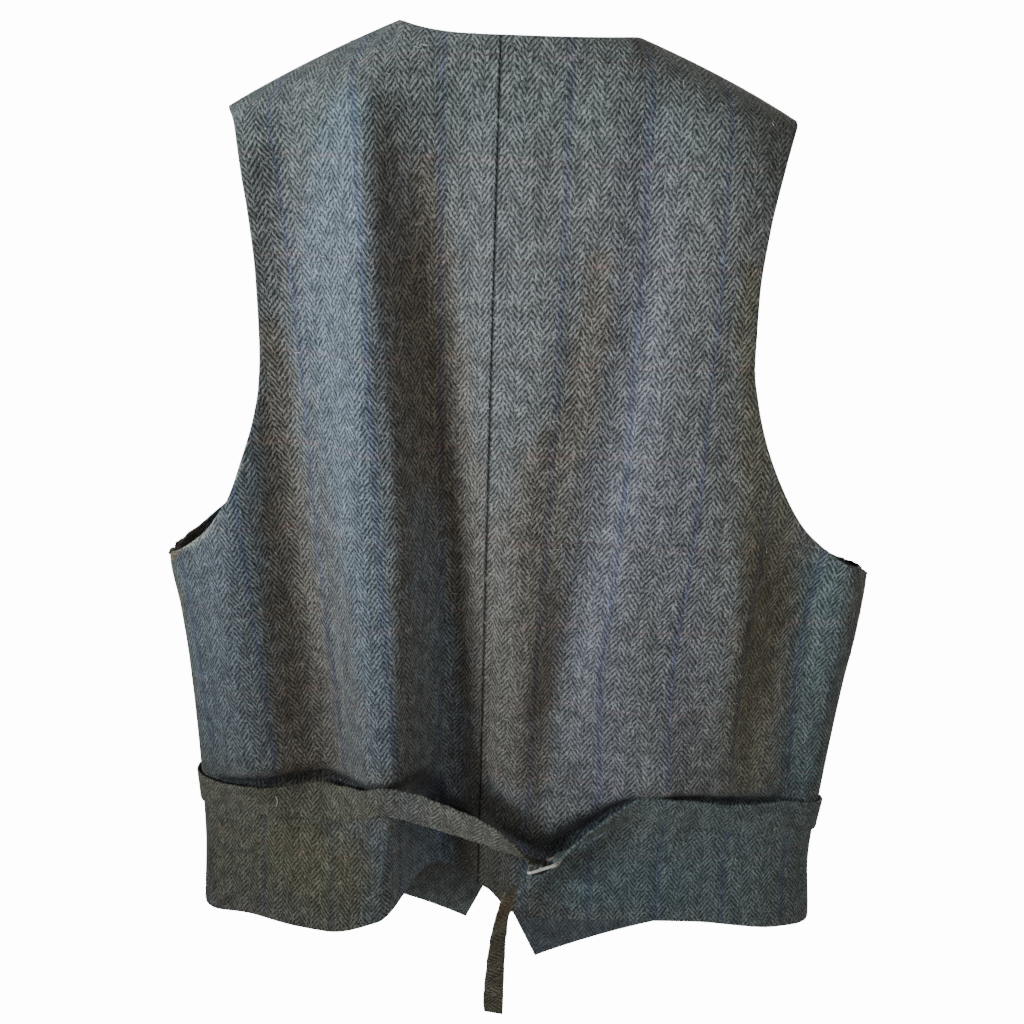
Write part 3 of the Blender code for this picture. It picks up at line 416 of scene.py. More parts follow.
def shoulderDrop(side, run):
    shoulder = bodyPlan["shoulders"][side]
    return (shoulder["neckDrop"] + (shoulder["tipDrop"] - shoulder["neckDrop"]) * run
            - bodyPlan["shoulderBow"] * 4.0 * run * (1.0 - run))


def neckShare(side):
    topColumn = bodyPlan["armholeColumns"]["back_" + side]
    return bodyPlan["shoulders"][side]["neckX"] / bodyPlan["armholes"][0][topColumn]


def backTop(side, share):
    shoulder, neck = bodyPlan["shoulders"][side], neckShare(side)
    dip = shoulder["centreDrop"] + (shoulder["neckDrop"] - shoulder["centreDrop"]) * (share / neck) ** 3
    return np.where(share <= neck, dip, shoulderDrop(side, np.clip((share - neck) / (1.0 - neck), 0.0, 1.0)))


def roundedCorner(distance):
    # how much higher the hem runs close to the side seam
    inside = np.clip(1.0 - distance / bodyPlan["cornerReach"], 0.0, 1.0)
    return bodyPlan["cornerRise"] * (1.0 - np.sqrt(1.0 - inside * inside))


def capShape(y, edgeY, drop, top):
    cap = np.clip((drop - top) / bodyPlan["capDrop"], 0.0, 1.0)
    return edgeY + (y - edgeY) * np.sqrt(1.0 - (1.0 - cap) ** 2)


def backAt(side, share, drop, top, pinched=False):
    # outer face of the back, and the cloth's width there
    x, y, full = ringPoint(drop, sectionSize("back", drop), bodyPlan["backPower"], np.zeros_like(drop), side,
                           lambda whole: share * armholeWidth("back_" + side, drop, whole))
    edge = armholeWidth("back_" + side, drop, full)
    y = y + foldHeight(x, drop) + creaseHeight("back", x, drop)
    if pinched:
        y = y + pinchHeight(x, drop) * (1.0 - np.minimum(1.0, np.abs(x) / halfWidth(drop, x)) ** 12)
    neck = neckShare(side)
    rise = np.sqrt(np.maximum(0.0, 1.0 - (share / neck) ** 2))
    seamY = bodyPlan["shoulderSeamY"]
    edgeY = seamY + (bodyPlan["neckBackY"] - seamY) * rise
    y = capShape(y, edgeY, drop, top)
    return np.stack((x, y, -drop), axis=-1), edge


def backPanel(side, share, height):
    top = backTop(side, share)
    hem = fromTable(bodyPlan["backHem"], 1 if side == "left" else 2, share)
    hem = hem - roundedCorner((1.0 - share) * sectionSize(side, hem))
    drop = top + (1.0 - height) * (hem - top)
    points, edge = backAt(side, share, drop, top, True)
    return points, edge, drop, top, hem


def frontPanel(side, share, height):
    top = shoulderDrop(side, share)
    fall = bodyPlan["pointDrop"][side] - bodyPlan["frontSideDrop"][side]
    hem = bodyPlan["frontSideDrop"][side] + fall * (1.0 - share) ** bodyPlan["frontHemPower"][side]
    hem = hem - roundedCorner((1.0 - share) * sectionSize(side, hem))
    drop = top + (1.0 - height) * (hem - top)
    innerX = fromTable(bodyPlan["frontEdges"], 1 if side == "left" else 2, drop)
    centreRun = (innerX - bodyPlan["centreFront"]) * sideSign[side]
    panel = "front_" + side

    def edgeOf(whole):
        return np.where(drop < bodyPlan["underarm"],
                        np.minimum(whole, armholeWidth(panel, drop, whole + centreRun) - centreRun), whole)

    x, y, full = ringPoint(drop, sectionSize(panel, drop), bodyPlan["frontPower"], innerX, side,
                           lambda whole: share * edgeOf(whole))
    if side == "right":
        lap = np.minimum(1.0, np.abs(x - bodyPlan["centreFront"] - bodyPlan["lapOverlap"])
                         / bodyPlan["lapFade"])
        y = y - bodyPlan["lapStep"] * bump(lap)
    lapFree = 1.0 - 0.9 * bump((x - bodyPlan["centreFront"]) / 0.045)
    y = y + creaseHeight("front", x, drop) * lapFree
    y = capShape(y, -bodyPlan["shoulderSeamY"], drop, top)
    return np.stack((x, -y, -drop), axis=-1), edgeOf(full), drop, top, hem


edgeSteps = (0.0, 0.00007, 0.00024, 0.00052, 0.00095, 0.0018, 0.0034, 0.0060)


def stationsBetween(knots, counts):
    values = [knots[0]]
    for start, end, count in zip(knots, knots[1:], counts):
        values += [start + (end - start) * (i + 1) / count for i in range(count)]
    return values


def withEdgeSteps(values, length):
    # crowds stations at both ends, so that a turned edge is round
    near = [step / length for step in edgeSteps]
    far = [1.0 - step for step in reversed(near)]
    return near + [value for value in values if near[-1] * 1.4 < value < 1.0 - near[-1] * 1.4] + far


def gridNormals(points, outward):
    across, along = np.gradient(points, axis=1), np.gradient(points, axis=0)
    normals = np.cross(across, along)
    normals /= np.maximum(np.linalg.norm(normals, axis=-1, keepdims=True), 1e-12)
    return normals if (normals * outward).sum() > 0.0 else -normals


def addObject(name, mesh, materials):
    item = bpy.data.objects.new(name, mesh)
    bpy.context.scene.collection.objects.link(item)
    for material in materials:
        mesh.materials.append(material)
    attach(item, "root")
    return item


def wallMesh(name, outer, inner, clothMap, materials, tintAndPaintedLight=None):
    # closed wall from two grids of points; material 0 is outside and on the rim, 1 is inside
    rows, columns = outer.shape[:2]
    number = np.arange(rows * columns).reshape(rows, columns)
    quads = np.stack((number[:-1, :-1], number[:-1, 1:], number[1:, 1:], number[1:, :-1]),
                     axis=-1).reshape(-1, 4)
    rimLoop = np.concatenate((number[0, :-1], number[:-1, -1], number[-1, :0:-1], number[:0:-1, 0]))
    shift = rows * columns
    rim = np.stack((rimLoop, np.roll(rimLoop, -1)), axis=-1)
    rim = np.concatenate((rim[:, ::-1], rim + shift), axis=1)
    faces = np.concatenate((quads, rim, (quads + shift)[:, ::-1]))
    points = np.concatenate((outer.reshape(-1, 3), inner.reshape(-1, 3)))
    first = points[faces[:len(quads)]]
    facing = np.cross(first[:, 1] - first[:, 0], first[:, 3] - first[:, 0])
    if (facing * (outer - inner).reshape(rows, columns, 3)[:-1, :-1].reshape(-1, 3)).sum() < 0.0:
        faces = faces[:, ::-1]
    mesh = bpy.data.meshes.new(name)
    mesh.from_pydata(points.tolist(), [], faces.tolist())
    layer = mesh.uv_layers.new(name="clothMap")
    corners = np.empty(len(mesh.loops), dtype=np.int32)
    mesh.loops.foreach_get("vertex_index", corners)
    both = np.concatenate((clothMap.reshape(-1, 2), clothMap.reshape(-1, 2)))
    layer.uv.foreach_set("vector", both[corners].astype(np.float32).ravel())
    # colour attribute holding the cloth's tints and its painted light and shade
    shade = np.ones((rows * columns, 4))
    if tintAndPaintedLight is not None:
        shade[:, :3] = tintAndPaintedLight.reshape(-1, 3)
    colours = mesh.color_attributes.new("tintAndPaintedLight", "FLOAT_COLOR", "POINT")
    colours.data.foreach_set("color", np.concatenate((shade, shade)).astype(np.float32).ravel())
    slots = np.zeros(len(faces), dtype=np.int32)
    slots[len(quads) + len(rim):] = 1 if len(materials) > 1 else 0
    mesh.polygons.foreach_set("material_index", slots)
    mesh.shade_smooth()
    mesh.update()
    return addObject(name, mesh, materials)


def rolled(distance, radius):
    inside = np.clip(radius - distance, 0.0, radius)
    return radius - np.sqrt(np.maximum(radius * radius - inside * inside, 0.0))


def panelPiece(name, side, panelOf, columns, rows, facing, materials, mapScale, mapShift):
    share, height = np.meshgrid(columns, rows)
    shape = share.shape
    points, edge, drop, top, hem = panelOf(side, share.ravel(), height.ravel())
    points = points.reshape(*shape, 3)
    plain = backAt(side, share.ravel(), drop, top)[0].reshape(*shape, 3) if panelOf is backPanel else points
    edge, drop, top, hem = (part.reshape(shape) for part in (edge, drop, top, hem))
    # cloth coordinates: true width from the centre line, and length down the grain
    stepAcross = np.hypot(np.diff(plain[..., 0], axis=1), np.diff(plain[..., 1], axis=1))
    across = np.zeros(shape)
    across[:, 1:] = np.cumsum(stepAcross, axis=1)
    if panelOf is backPanel:
        # below the cinch the columns hang straight
        skirt = (drop.mean(axis=1) > 0.565) & (drop.mean(axis=1) < 0.605)
        below = np.clip((drop - 0.505) / 0.050, 0.0, 1.0)
        across += (across[skirt].mean(axis=0) - across) * below * below * (3.0 - 2.0 * below)
    along = drop.copy()
    capRows = (drop - top) < bodyPlan["capDrop"]
    outward, down = np.diff(points[..., 1], axis=0), np.diff(points[..., 2], axis=0)
    extra = np.hypot(outward, down) - np.abs(down)
    along[1:] -= np.cumsum(extra * capRows[1:], axis=0)
    clothMap = np.stack((across * sideSign[side] * mapScale + mapShift, -along), axis=-1)
    if panelOf is frontPanel:
        clothMap[..., 0] += points[:, :1, 0]
    # the seams meet a little past their lines
    overlap = bodyPlan["seamOverlap"]
    seamRows = drop[:, -1] >= bodyPlan["underarm"] - 0.0005
    points[seamRows, -1, 1] = -overlap * facing
    if facing > 0.0:
        points[:, 0, 0] = -overlap * sideSign[side]
    shoulder = share[-1] > neckShare(side) if facing > 0.0 else share[-1] >= 0.0
    points[-1, shoulder, 1] = bodyPlan["shoulderSeamY"] - overlap * facing
    normals = gridNormals(points, np.array((0.0, facing, 0.0)))
    centreSide = share * edge
    armSide = (1.0 - share) * edge
    nearest = np.minimum(np.minimum(centreSide, armSide), np.minimum(drop - top, hem - drop))
    sunk = rolled(nearest, bodyPlan["rollRadius"])
    outer = points - normals * sunk[..., None]
    inner = points - normals * (bodyPlan["cloth"] - sunk)[..., None]
    # walls stay on their own side of the seams
    for part in (outer, inner):
        depth = part[..., 1] * facing
        nearSide = np.abs(part[..., 0]) > 0.8 * halfWidth(drop, part[..., 0])
        floor = np.where((drop > bodyPlan["underarm"] - 0.012) & nearSide, -overlap, -1.0)
        tip = bodyPlan["shoulders"][side]["tipDrop"]
        floor = np.where(drop < tip + 0.004, bodyPlan["shoulderSeamY"] * facing - overlap, floor)
        part[..., 1] = np.maximum(depth, floor) * facing
        if facing > 0.0:
            part[..., 0] = sideSign[side] * np.maximum(part[..., 0] * sideSign[side], -overlap)
    kind = "back" if facing > 0.0 else "front"
    # the cloth's tints with painted light and shade
    shade = tintAndPaintedLightAt(kind, points[..., 0], drop)
    if facing > 0.0:
        # painted shade: the colour darkens along the centre seam, as shade in its groove
        seam = np.clip((centreSide - 0.0004) / 0.0010, 0.0, 1.0)
        shade = shade * (0.28 + 0.72 * seam)[..., None]
    return wallMesh(name, outer, inner, clothMap, materials, shade)


def newMaterial(name, roughness):
    material = bpy.data.materials.new(name)
    material.use_nodes = True
    shader = material.node_tree.nodes["Principled BSDF"]
    shader.inputs["Roughness"].default_value = roughness
    return material, material.node_tree, shader


def addNode(tree, kind, settings=None, **inputs):
    node = tree.nodes.new("ShaderNode" + kind)
    for key, value in (settings or {}).items():
        setattr(node, key, value)
    for key, value in inputs.items():
        socket = node.inputs[int(key[1:]) if key[0] == "i" and key[1:].isdigit() else key]
        if isinstance(value, bpy.types.NodeSocket):
            tree.links.new(value, socket)
        else:
            socket.default_value = value
    return node


def maths(tree, operation, *values):
    node = tree.nodes.new("ShaderNodeMath")
    node.operation = operation
    for socket, value in zip(node.inputs, values):
        if isinstance(value, bpy.types.NodeSocket):
            tree.links.new(value, socket)
        else:
            socket.default_value = value
    return node.outputs[0]


def mixColour(tree, factor, first, second, blend="MIX"):
    node = tree.nodes.new("ShaderNodeMix")
    node.data_type = "RGBA"
    node.blend_type = blend
    for socket, value in ((node.inputs[0], factor), (node.inputs[6], first), (node.inputs[7], second)):
        if isinstance(value, bpy.types.NodeSocket):
            tree.links.new(value, socket)
        else:
            socket.default_value = value
    return node.outputs[2]


def rangeMap(tree, value, low, high, toLow=0.0, toHigh=1.0):
    return addNode(tree, "MapRange", {"interpolation_type": "SMOOTHSTEP"}, Value=value,
                   **{"From Min": low, "From Max": high, "To Min": toLow, "To Max": toHigh}).outputs[0]


def newGroup(name, inputs, outputs):
    tree = bpy.data.node_groups.new(name, "ShaderNodeTree")
    for label, kind, value in inputs:
        socket = tree.interface.new_socket(name=label, in_out="INPUT", socket_type="NodeSocket" + kind)
        if value is not None:
            socket.default_value = value
    for label, kind in outputs:
        tree.interface.new_socket(name=label, in_out="OUTPUT", socket_type="NodeSocket" + kind)
    return tree, tree.nodes.new("NodeGroupInput").outputs, tree.nodes.new("NodeGroupOutput").inputs


def herringboneGroup():
    # Map is in metres: X across the columns, Y along them
    tree, given, out = newGroup("herringbone", (
        ("Map", "Vector", None), ("Column", "Float", 0.0080), ("Pitch", "Float", 0.0044),
        ("Rise", "Float", 1.2), ("Wobble", "Float", 0.0008)),
        (("Twill", "Float"), ("Height", "Float"), ("Yarn", "Float"), ("Kemp", "Float"), ("Slub", "Float")))
    wobble = addNode(tree, "TexNoise", {"noise_dimensions": "2D"}, Vector=given["Map"], Scale=260.0,
                     Detail=3.0)
    shifted = addNode(tree, "VectorMath", {"operation": "SUBTRACT"}, i0=wobble.outputs["Color"],
                      i1=(0.5, 0.5, 0.5))
    scaled = addNode(tree, "VectorMath", {"operation": "SCALE"}, i0=shifted.outputs[0])
    tree.links.new(maths(tree, "MULTIPLY", given["Wobble"], 2.4), scaled.inputs["Scale"])
    moved = addNode(tree, "VectorMath", {"operation": "ADD"}, i0=given["Map"], i1=scaled.outputs[0])
    parts = addNode(tree, "SeparateXYZ", Vector=moved.outputs[0])
    count = maths(tree, "DIVIDE", parts.outputs[0], given["Column"])
    zigzag = maths(tree, "MULTIPLY", maths(tree, "PINGPONG", count, 1.0), given["Column"])
    broken = maths(tree, "MULTIPLY", maths(tree, "FLOORED_MODULO", maths(tree, "FLOOR", count), 2.0), 0.5)
    lean = maths(tree, "MULTIPLY", zigzag, given["Rise"])
    phase = maths(tree, "DIVIDE", maths(tree, "SUBTRACT", parts.outputs[1], lean), given["Pitch"])
    phase = maths(tree, "ADD", phase, broken)
    wave = maths(tree, "ABSOLUTE", maths(tree, "SUBTRACT", maths(tree, "FRACT", phase), 0.5))
    ragged = addNode(tree, "TexNoise", {"noise_dimensions": "2D"}, Vector=given["Map"], Scale=540.0,
                     Detail=3.0)
    wave = maths(tree, "ADD", wave, maths(tree, "MULTIPLY", maths(tree, "SUBTRACT", ragged.outputs[0], 0.5),
                                          0.80))
    twill = rangeMap(tree, wave, -0.02, 0.50)
    # the light lines are rows of yarn floats, each of its own lightness
    floatPlace = addNode(tree, "CombineXYZ", X=maths(tree, "MULTIPLY", parts.outputs[0], 820.0),
                         Y=maths(tree, "MULTIPLY", maths(tree, "FLOOR", phase), 5.3), Z=0.0)
    yarn = addNode(tree, "TexNoise", {"noise_dimensions": "2D"}, Vector=floatPlace.outputs[0], Scale=1.0,
                   Detail=1.0)
    fibre = addNode(tree, "TexNoise", {"noise_dimensions": "2D"}, Vector=given["Map"], Scale=1400.0,
                    Detail=2.0)
    kemp = addNode(tree, "TexNoise", {"noise_dimensions": "2D"}, Vector=given["Map"], Scale=560.0, Detail=3.0,
                   Roughness=0.70)
    slub = addNode(tree, "TexNoise", {"noise_dimensions": "2D"}, Vector=given["Map"], Scale=90.0, Detail=4.0,
                   Roughness=0.65)
    height = maths(tree, "ADD", twill, maths(tree, "MULTIPLY", fibre.outputs[0], 0.8))
    tree.links.new(twill, out["Twill"])
    tree.links.new(height, out["Height"])
    tree.links.new(yarn.outputs[0], out["Yarn"])
    tree.links.new(rangeMap(tree, kemp.outputs[0], 0.60, 0.72), out["Kemp"])
    tree.links.new(slub.outputs[0], out["Slub"])
    return tree


def overcheckGroup():
    # fine check lines in the cloth: X across, Y along, spacings in metres
    tree, given, out = newGroup("overcheck", (
        ("Map", "Vector", None), ("Across", "Float", 0.0580), ("Along", "Float", 0.0608),
        ("Offset", "Vector", (0.0, 0.0, 0.0)), ("Line", "Float", 0.0018)),
        (("Warp line", "Float"), ("Weft line", "Float")))
    moved = addNode(tree, "VectorMath", {"operation": "ADD"}, i0=given["Map"], i1=given["Offset"])
    parts = addNode(tree, "SeparateXYZ", Vector=moved.outputs[0])
    for socket, spacing, label in ((0, "Across", "Warp line"), (1, "Along", "Weft line")):
        place = maths(tree, "FRACT", maths(tree, "DIVIDE", parts.outputs[socket], given[spacing]))
        distance = maths(tree, "ABSOLUTE", maths(tree, "SUBTRACT", place, 0.5))
        distance = maths(tree, "MULTIPLY", distance, given[spacing])
        share = maths(tree, "DIVIDE", distance, given["Line"])
        tree.links.new(rangeMap(tree, share, 0.5, 1.6, 1.0, 0.0), out[label])
    return tree


def clothMapNode(tree):
    return addNode(tree, "UVMap", {"uv_map": "clothMap"}).outputs["UV"]


tweedLooks = {
    "column": 0.0080, "pitch": 0.0044, "rise": 1.35,
    "dark": (0.045, 0.0480, 0.0490, 1.0),
    "light": (0.242, 0.255, 0.258, 1.0),
    "blueLine": (0.130, 0.150, 0.260, 1.0),
    "redLine": (0.330, 0.190, 0.200, 1.0),
    "kemp": (0.52, 0.54, 0.50, 1.0),
    "bump": 0.0006,
}


def tweedMaterial(name, looks):
    material, tree, shader = newMaterial(name, 0.95)
    clothMap = clothMapNode(tree)
    weave = tree.nodes.new("ShaderNodeGroup")
    weave.node_tree = herringbone
    tree.links.new(clothMap, weave.inputs["Map"])
    for label, key in (("Column", "column"), ("Pitch", "pitch"), ("Rise", "rise")):
        weave.inputs[label].default_value = looks[key]
    check = tree.nodes.new("ShaderNodeGroup")
    check.node_tree = overcheck
    tree.links.new(clothMap, check.inputs["Map"])
    check.inputs["Offset"].default_value = looks["checkOffset"]
    check.inputs["Across"].default_value = looks["checkAcross"]
    # tints and painted light and shade from the colour attribute are multiplied into the cloth's colour
    tintAndPaintedLight = addNode(tree, "Attribute", {"attribute_name": "tintAndPaintedLight"})
    lightYarn = mixColour(tree, maths(tree, "MULTIPLY", check.outputs["Warp line"], looks["warpLine"]),
                          looks["light"], looks["blueLine"])
    patchy = rangeMap(tree, weave.outputs["Slub"], 0.42, 0.60, 0.1, looks["weftLine"])
    lightYarn = mixColour(tree, maths(tree, "MULTIPLY", check.outputs["Weft line"], patchy), lightYarn,
                          looks["redLine"])
    strength = rangeMap(tree, weave.outputs["Yarn"], 0.44, 0.74, 0.55, 2.05)
    lit = maths(tree, "MULTIPLY", weave.outputs["Twill"], strength)
    colour = mixColour(tree, lit, looks["dark"], lightYarn)
    colour = mixColour(tree, maths(tree, "MULTIPLY", weave.outputs["Kemp"], 0.48), colour, looks["kemp"])
    colour = mixColour(tree, 1.0, colour, tintAndPaintedLight.outputs["Color"], "MULTIPLY")
    depth = rangeMap(tree, weave.outputs["Slub"], 0.3, 0.7, 0.80, 1.22)
    shade = addNode(tree, "CombineColor", Red=depth, Green=depth, Blue=depth)
    colour = mixColour(tree, 1.0, colour, shade.outputs[0], "MULTIPLY")
    tree.links.new(colour, shader.inputs["Base Color"])
    relief = addNode(tree, "Bump", Height=weave.outputs["Height"], Strength=0.7, Distance=looks["bump"])
    tree.links.new(relief.outputs[0], shader.inputs["Normal"])
    shader.inputs["Sheen Weight"].default_value = 0.08
    shader.inputs["Sheen Roughness"].default_value = 0.5
    shader.inputs["Specular IOR Level"].default_value = 0.12
    return material


def liningMaterial(name, colour):
    material, tree, shader = newMaterial(name, 0.62)
    ribs = addNode(tree, "TexWave", {"wave_type": "BANDS", "bands_direction": "X"},
                   Vector=clothMapNode(tree), Scale=160.0, Distortion=1.2)
    shade = mixColour(tree, rangeMap(tree, ribs.outputs["Fac"], 0.2, 0.9), colour,
                      tuple(c * 1.7 for c in colour[:3]) + (1.0,))
    # tints and painted light and shade from the colour attribute are multiplied into the lining's colour
    tintAndPaintedLight = addNode(tree, "Attribute", {"attribute_name": "tintAndPaintedLight"})
    shade = mixColour(tree, 1.0, shade, tintAndPaintedLight.outputs["Color"], "MULTIPLY")
    tree.links.new(shade, shader.inputs["Base Color"])
    relief = addNode(tree, "Bump", Height=ribs.outputs["Fac"], Strength=0.4, Distance=0.0003)
    tree.links.new(relief.outputs[0], shader.inputs["Normal"])
    return material


herringbone = herringboneGroup()
overcheck = overcheckGroup()
checked = {"checkOffset": (0.018, 0.0496, 0.0), "warpLine": 0.60, "weftLine": 0.36}
leftTweed = {**tweedLooks, **checked, "checkAcross": 0.058}
rightTweed = {**tweedLooks, **checked, "checkAcross": 0.050}
plainWeave = {"checkOffset": (0.040, 0.030, 0.0), "checkAcross": 0.058, "warpLine": 0.0, "weftLine": 0.0}
strapTweed = {**tweedLooks, **plainWeave, "pitch": 0.0041, "dark": (0.052, 0.0545, 0.0545, 1.0),
              "light": (0.228, 0.238, 0.236, 1.0)}
innerTweed = {**tweedLooks, **plainWeave, "dark": (0.072, 0.083, 0.094, 1.0),
              "light": (0.172, 0.208, 0.243, 1.0),
              "kemp": (0.30, 0.33, 0.34, 1.0)}
tweeds = {"left": tweedMaterial("tweedLeft", leftTweed), "right": tweedMaterial("tweedRight", rightTweed)}
strapCloth = tweedMaterial("strapTweed", strapTweed)
lining = liningMaterial("lining", (0.010, 0.011, 0.014, 1.0))
turnedTweed = tweedMaterial("turnedTweed", innerTweed)
print("materials made")


panels = {
    "backLeft": {"node": "back_left", "side": "left", "columns": 96, "rows": (78, 60, 22), "scale": 1.06,
                 "shift": -0.0260},
    "backRight": {"node": "back_right", "side": "right", "columns": 104, "rows": (78, 60, 22),
                  "scale": 1.01, "shift": 0.0003},
    "frontLeft": {"node": "front_left", "side": "left", "columns": 88, "rows": (70, 50, 20), "scale": 1.0,
                  "shift": 0.0},
    "frontRight": {"node": "front_right", "side": "right", "columns": 88, "rows": (70, 50, 20),
                   "scale": 1.0, "shift": 0.0},
}


def panelRows(side, sideHem, counts):
    length = sideHem - bodyPlan["shoulders"][side]["tipDrop"]
    underarm = (sideHem - bodyPlan["underarm"]) / length
    cap = 1.0 - bodyPlan["capDrop"] / length
    rows = stationsBetween((0.0, underarm), counts[:1])
    for step in range(1, counts[1] + 1):
        rows.append(underarm + (cap - underarm) * (step / counts[1]) ** 1.7)
    for step in range(counts[2] - 1, -1, -1):
        rows.append(1.0 - (1.0 - cap) * (step / counts[2]) ** 2.2)
    return withEdgeSteps(rows, length)


made = {}
for name, plan in panels.items():
    side, back = plan["side"], name.startswith("back")
    sideHem = bodyPlan["backHem"][-1][1 if side == "left" else 2] if back else bodyPlan["frontSideDrop"][side]
    rows = panelRows(side, sideHem - bodyPlan["cornerRise"], plan["rows"])
    columns = stationsBetween((0.0, neckShare(side), 1.0), (plan["columns"] // 3, plan["columns"] * 2 // 3))
    columns = withEdgeSteps(columns, 0.19)
    item = panelPiece(name, side, backPanel if back else frontPanel, columns, rows, 1.0 if back else -1.0,
                      [tweeds[side], lining if back else turnedTweed], plan["scale"], plan["shift"])
    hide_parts(plan["node"])
    made[name] = item
    print("panel", name, len(item.data.polygons))


# the cinch straps: rows are share, drop of the upper edge, width and lift off the cloth
strapPlan = {
    "cloth": 0.0018,
    "lines": 7,
    "laidSteps": 16,
    "camber": 0.0007,
    "tilt": 0.0010,                 # how much further the upper edge stands off than the lower one
    "edgeWave": 0.00035,
    "lays": {
        "left": (
            (0.990, 0.5280, 0.0240, 0.0018), (0.911, 0.5255, 0.0240, 0.0020), (0.820, 0.5225, 0.0240, 0.0024),
            (0.706, 0.5160, 0.0240, 0.0036), (0.630, 0.5160, 0.0240, 0.0054),
            (0.555, 0.5173, 0.0235, 0.0068), (0.450, 0.5186, 0.0230, 0.0060),
            (0.341, 0.5068, 0.0235, 0.0034), (0.285, 0.5008, 0.0250, 0.0030)),
        "right": (
            (0.990, 0.5370, 0.0245, 0.0018), (0.942, 0.5330, 0.0245, 0.0020), (0.856, 0.5275, 0.0245, 0.0028),
            (0.764, 0.5235, 0.0245, 0.0048), (0.695, 0.5210, 0.0245, 0.0054), (0.626, 0.5180, 0.0240, 0.0046),
            (0.541, 0.5130, 0.0235, 0.0028), (0.475, 0.5095, 0.0225, 0.0022))},
    # upper and lower edge of the stretches that hang free
    "spans": {
        "left": (
            ((0.0460, 0.0775, -0.5035), (0.0462, 0.0715, -0.5305)),
            ((0.0285, 0.0780, -0.5098), (0.0286, 0.0710, -0.5362)),
            ((0.0010, 0.0785, -0.5210), (0.0013, 0.0690, -0.5460)),
            ((-0.0160, 0.0785, -0.5320), (-0.0185, 0.0670, -0.5545)),
            ((-0.0280, 0.0762, -0.5455), (-0.0320, 0.0632, -0.5605))),
        "right": (
            ((-0.1120, 0.0670, -0.5090), (-0.1130, 0.0600, -0.5290)),
            ((-0.0855, 0.0735, -0.5265), (-0.0880, 0.0620, -0.5400)),
            ((-0.0700, 0.0755, -0.5405), (-0.0720, 0.0615, -0.5500)))},
    # in the buckle: along, out and width
    "loopIn": ((0.0058, -0.0050, 0.0138),),
    "loopRadius": 0.0022,
    "loopTurn": (300.0, 80.0),
    "loopOut": ((0.0040, 0.0021, 0.0134),),
    "passage": (
        (-0.0175, -0.0030, 0.0136), (-0.0112, -0.0026, 0.0134), (-0.0062, 0.0016, 0.0134),
        (-0.0010, 0.0047, 0.0134), (0.0060, 0.0040, 0.0134), (0.0112, 0.0032, 0.0136)),
    # the hanging tail: middle of the cloth, width, turn in degrees and slant
    "tail": (
        (-0.0295, 0.07, -0.5770, 0.0140, 56, 0.0), (-0.0248, 0.07, -0.5855, 0.0150, 50, 0.0),
        (-0.0222, 0.07, -0.5935, 0.0156, 48, 0.0), (-0.0205, 0.07, -0.6035, 0.0158, 47, 0.0),
        (-0.0184, 0.07, -0.6125, 0.0158, 46, 0.0), (-0.0165, 0.07, -0.6315, 0.0158, 40, 0.0),
        (-0.0156, 0.07, -0.6500, 0.0158, 32, 0.0), (-0.0150, 0.07, -0.6695, 0.0158, 22, 0.0),
        (-0.0150, 0.07, -0.6830, 0.0156, 17, 0.002), (-0.0154, 0.07, -0.6925, 0.0146, 17, 0.006)),
    # share of the strap's length, and its tint there; on the left strap the pale stretch is painted highlight
    # where it hangs free, and the dark end is painted shade in the buckle
    "tintAndPaintedLightTable": {
        "left": ((0.00, "olive"), (0.52, "olive"), (0.62, "plain"), (0.72, "pale"), (0.84, "pale"),
                 (0.90, "olive"),
                 (1.00, "paintedShadow")),
        "right": ((0.00, "teal"), (0.68, "teal"), (0.72, "moss"), (0.76, "rust"), (0.81, "olive"),
                  (1.00, "olive"))},
}

bucklePlan = {
    "rail": 0.0205, "height": 0.0180, "wire": 0.0011, "corner": 0.0024,
    "place": (-0.0471, 0.0680, -0.5643), "along": (0.9257, 0.0, -0.3783), "up": (0.106, 0.960, 0.259),
    "prongs": (0.0036, -0.0036), "prongWire": 0.0005,
    "prongPath": ((0.0002, 0.0019), (-0.0022, 0.0024), (-0.0055, 0.0029), (-0.0090, 0.0026),
                  (-0.0122, 0.0013), (-0.0150, -0.0006)),
}
buckleAlong = Vector(bucklePlan["along"]).normalized()
buckleUp = Vector(bucklePlan["up"]).normalized()
buckleOut = buckleUp.cross(buckleAlong).normalized()


def inBuckle(along, up, out):
    return np.array(Vector(bucklePlan["place"]) + buckleAlong * along + buckleUp * up + buckleOut * out)


def laidPlaces(side):
    rows = sorted(strapPlan["lays"][side])
    first, last = strapPlan["lays"][side][0][0], strapPlan["lays"][side][-1][0]
    share = np.linspace(first, last, strapPlan["laidSteps"] + 1)
    shares = [row[0] for row in rows]
    top, width, lift = (smoothValues(shares, [row[i] for row in rows], share) for i in (1, 2, 3))
    lines = []
    for line in np.linspace(0.0, 1.0, strapPlan["lines"]):
        drop = top + width * line
        level = np.zeros_like(drop)
        place = backAt(side, share, drop, level)[0]
        inward = backAt(side, share - 0.02, drop, level)[0]
        lower = backAt(side, share, drop + 0.002, level)[0]
        normal = np.cross(place - inward, place - lower)
        normal *= -sideSign[side] / np.linalg.norm(normal, axis=1, keepdims=True)
        lines.append(place + normal * (lift + strapPlan["tilt"] * (0.5 - line))[:, None])
    return list(np.stack(lines, axis=1))


def betweenEdges(upper, lower):
    share = np.linspace(0.0, 1.0, strapPlan["lines"])[:, None]
    return np.asarray(upper) * (1.0 - share) + np.asarray(lower) * share


def buckleStation(along, out, width):
    return betweenEdges(inBuckle(along, width / 2.0, out), inBuckle(along, -width / 2.0, out))


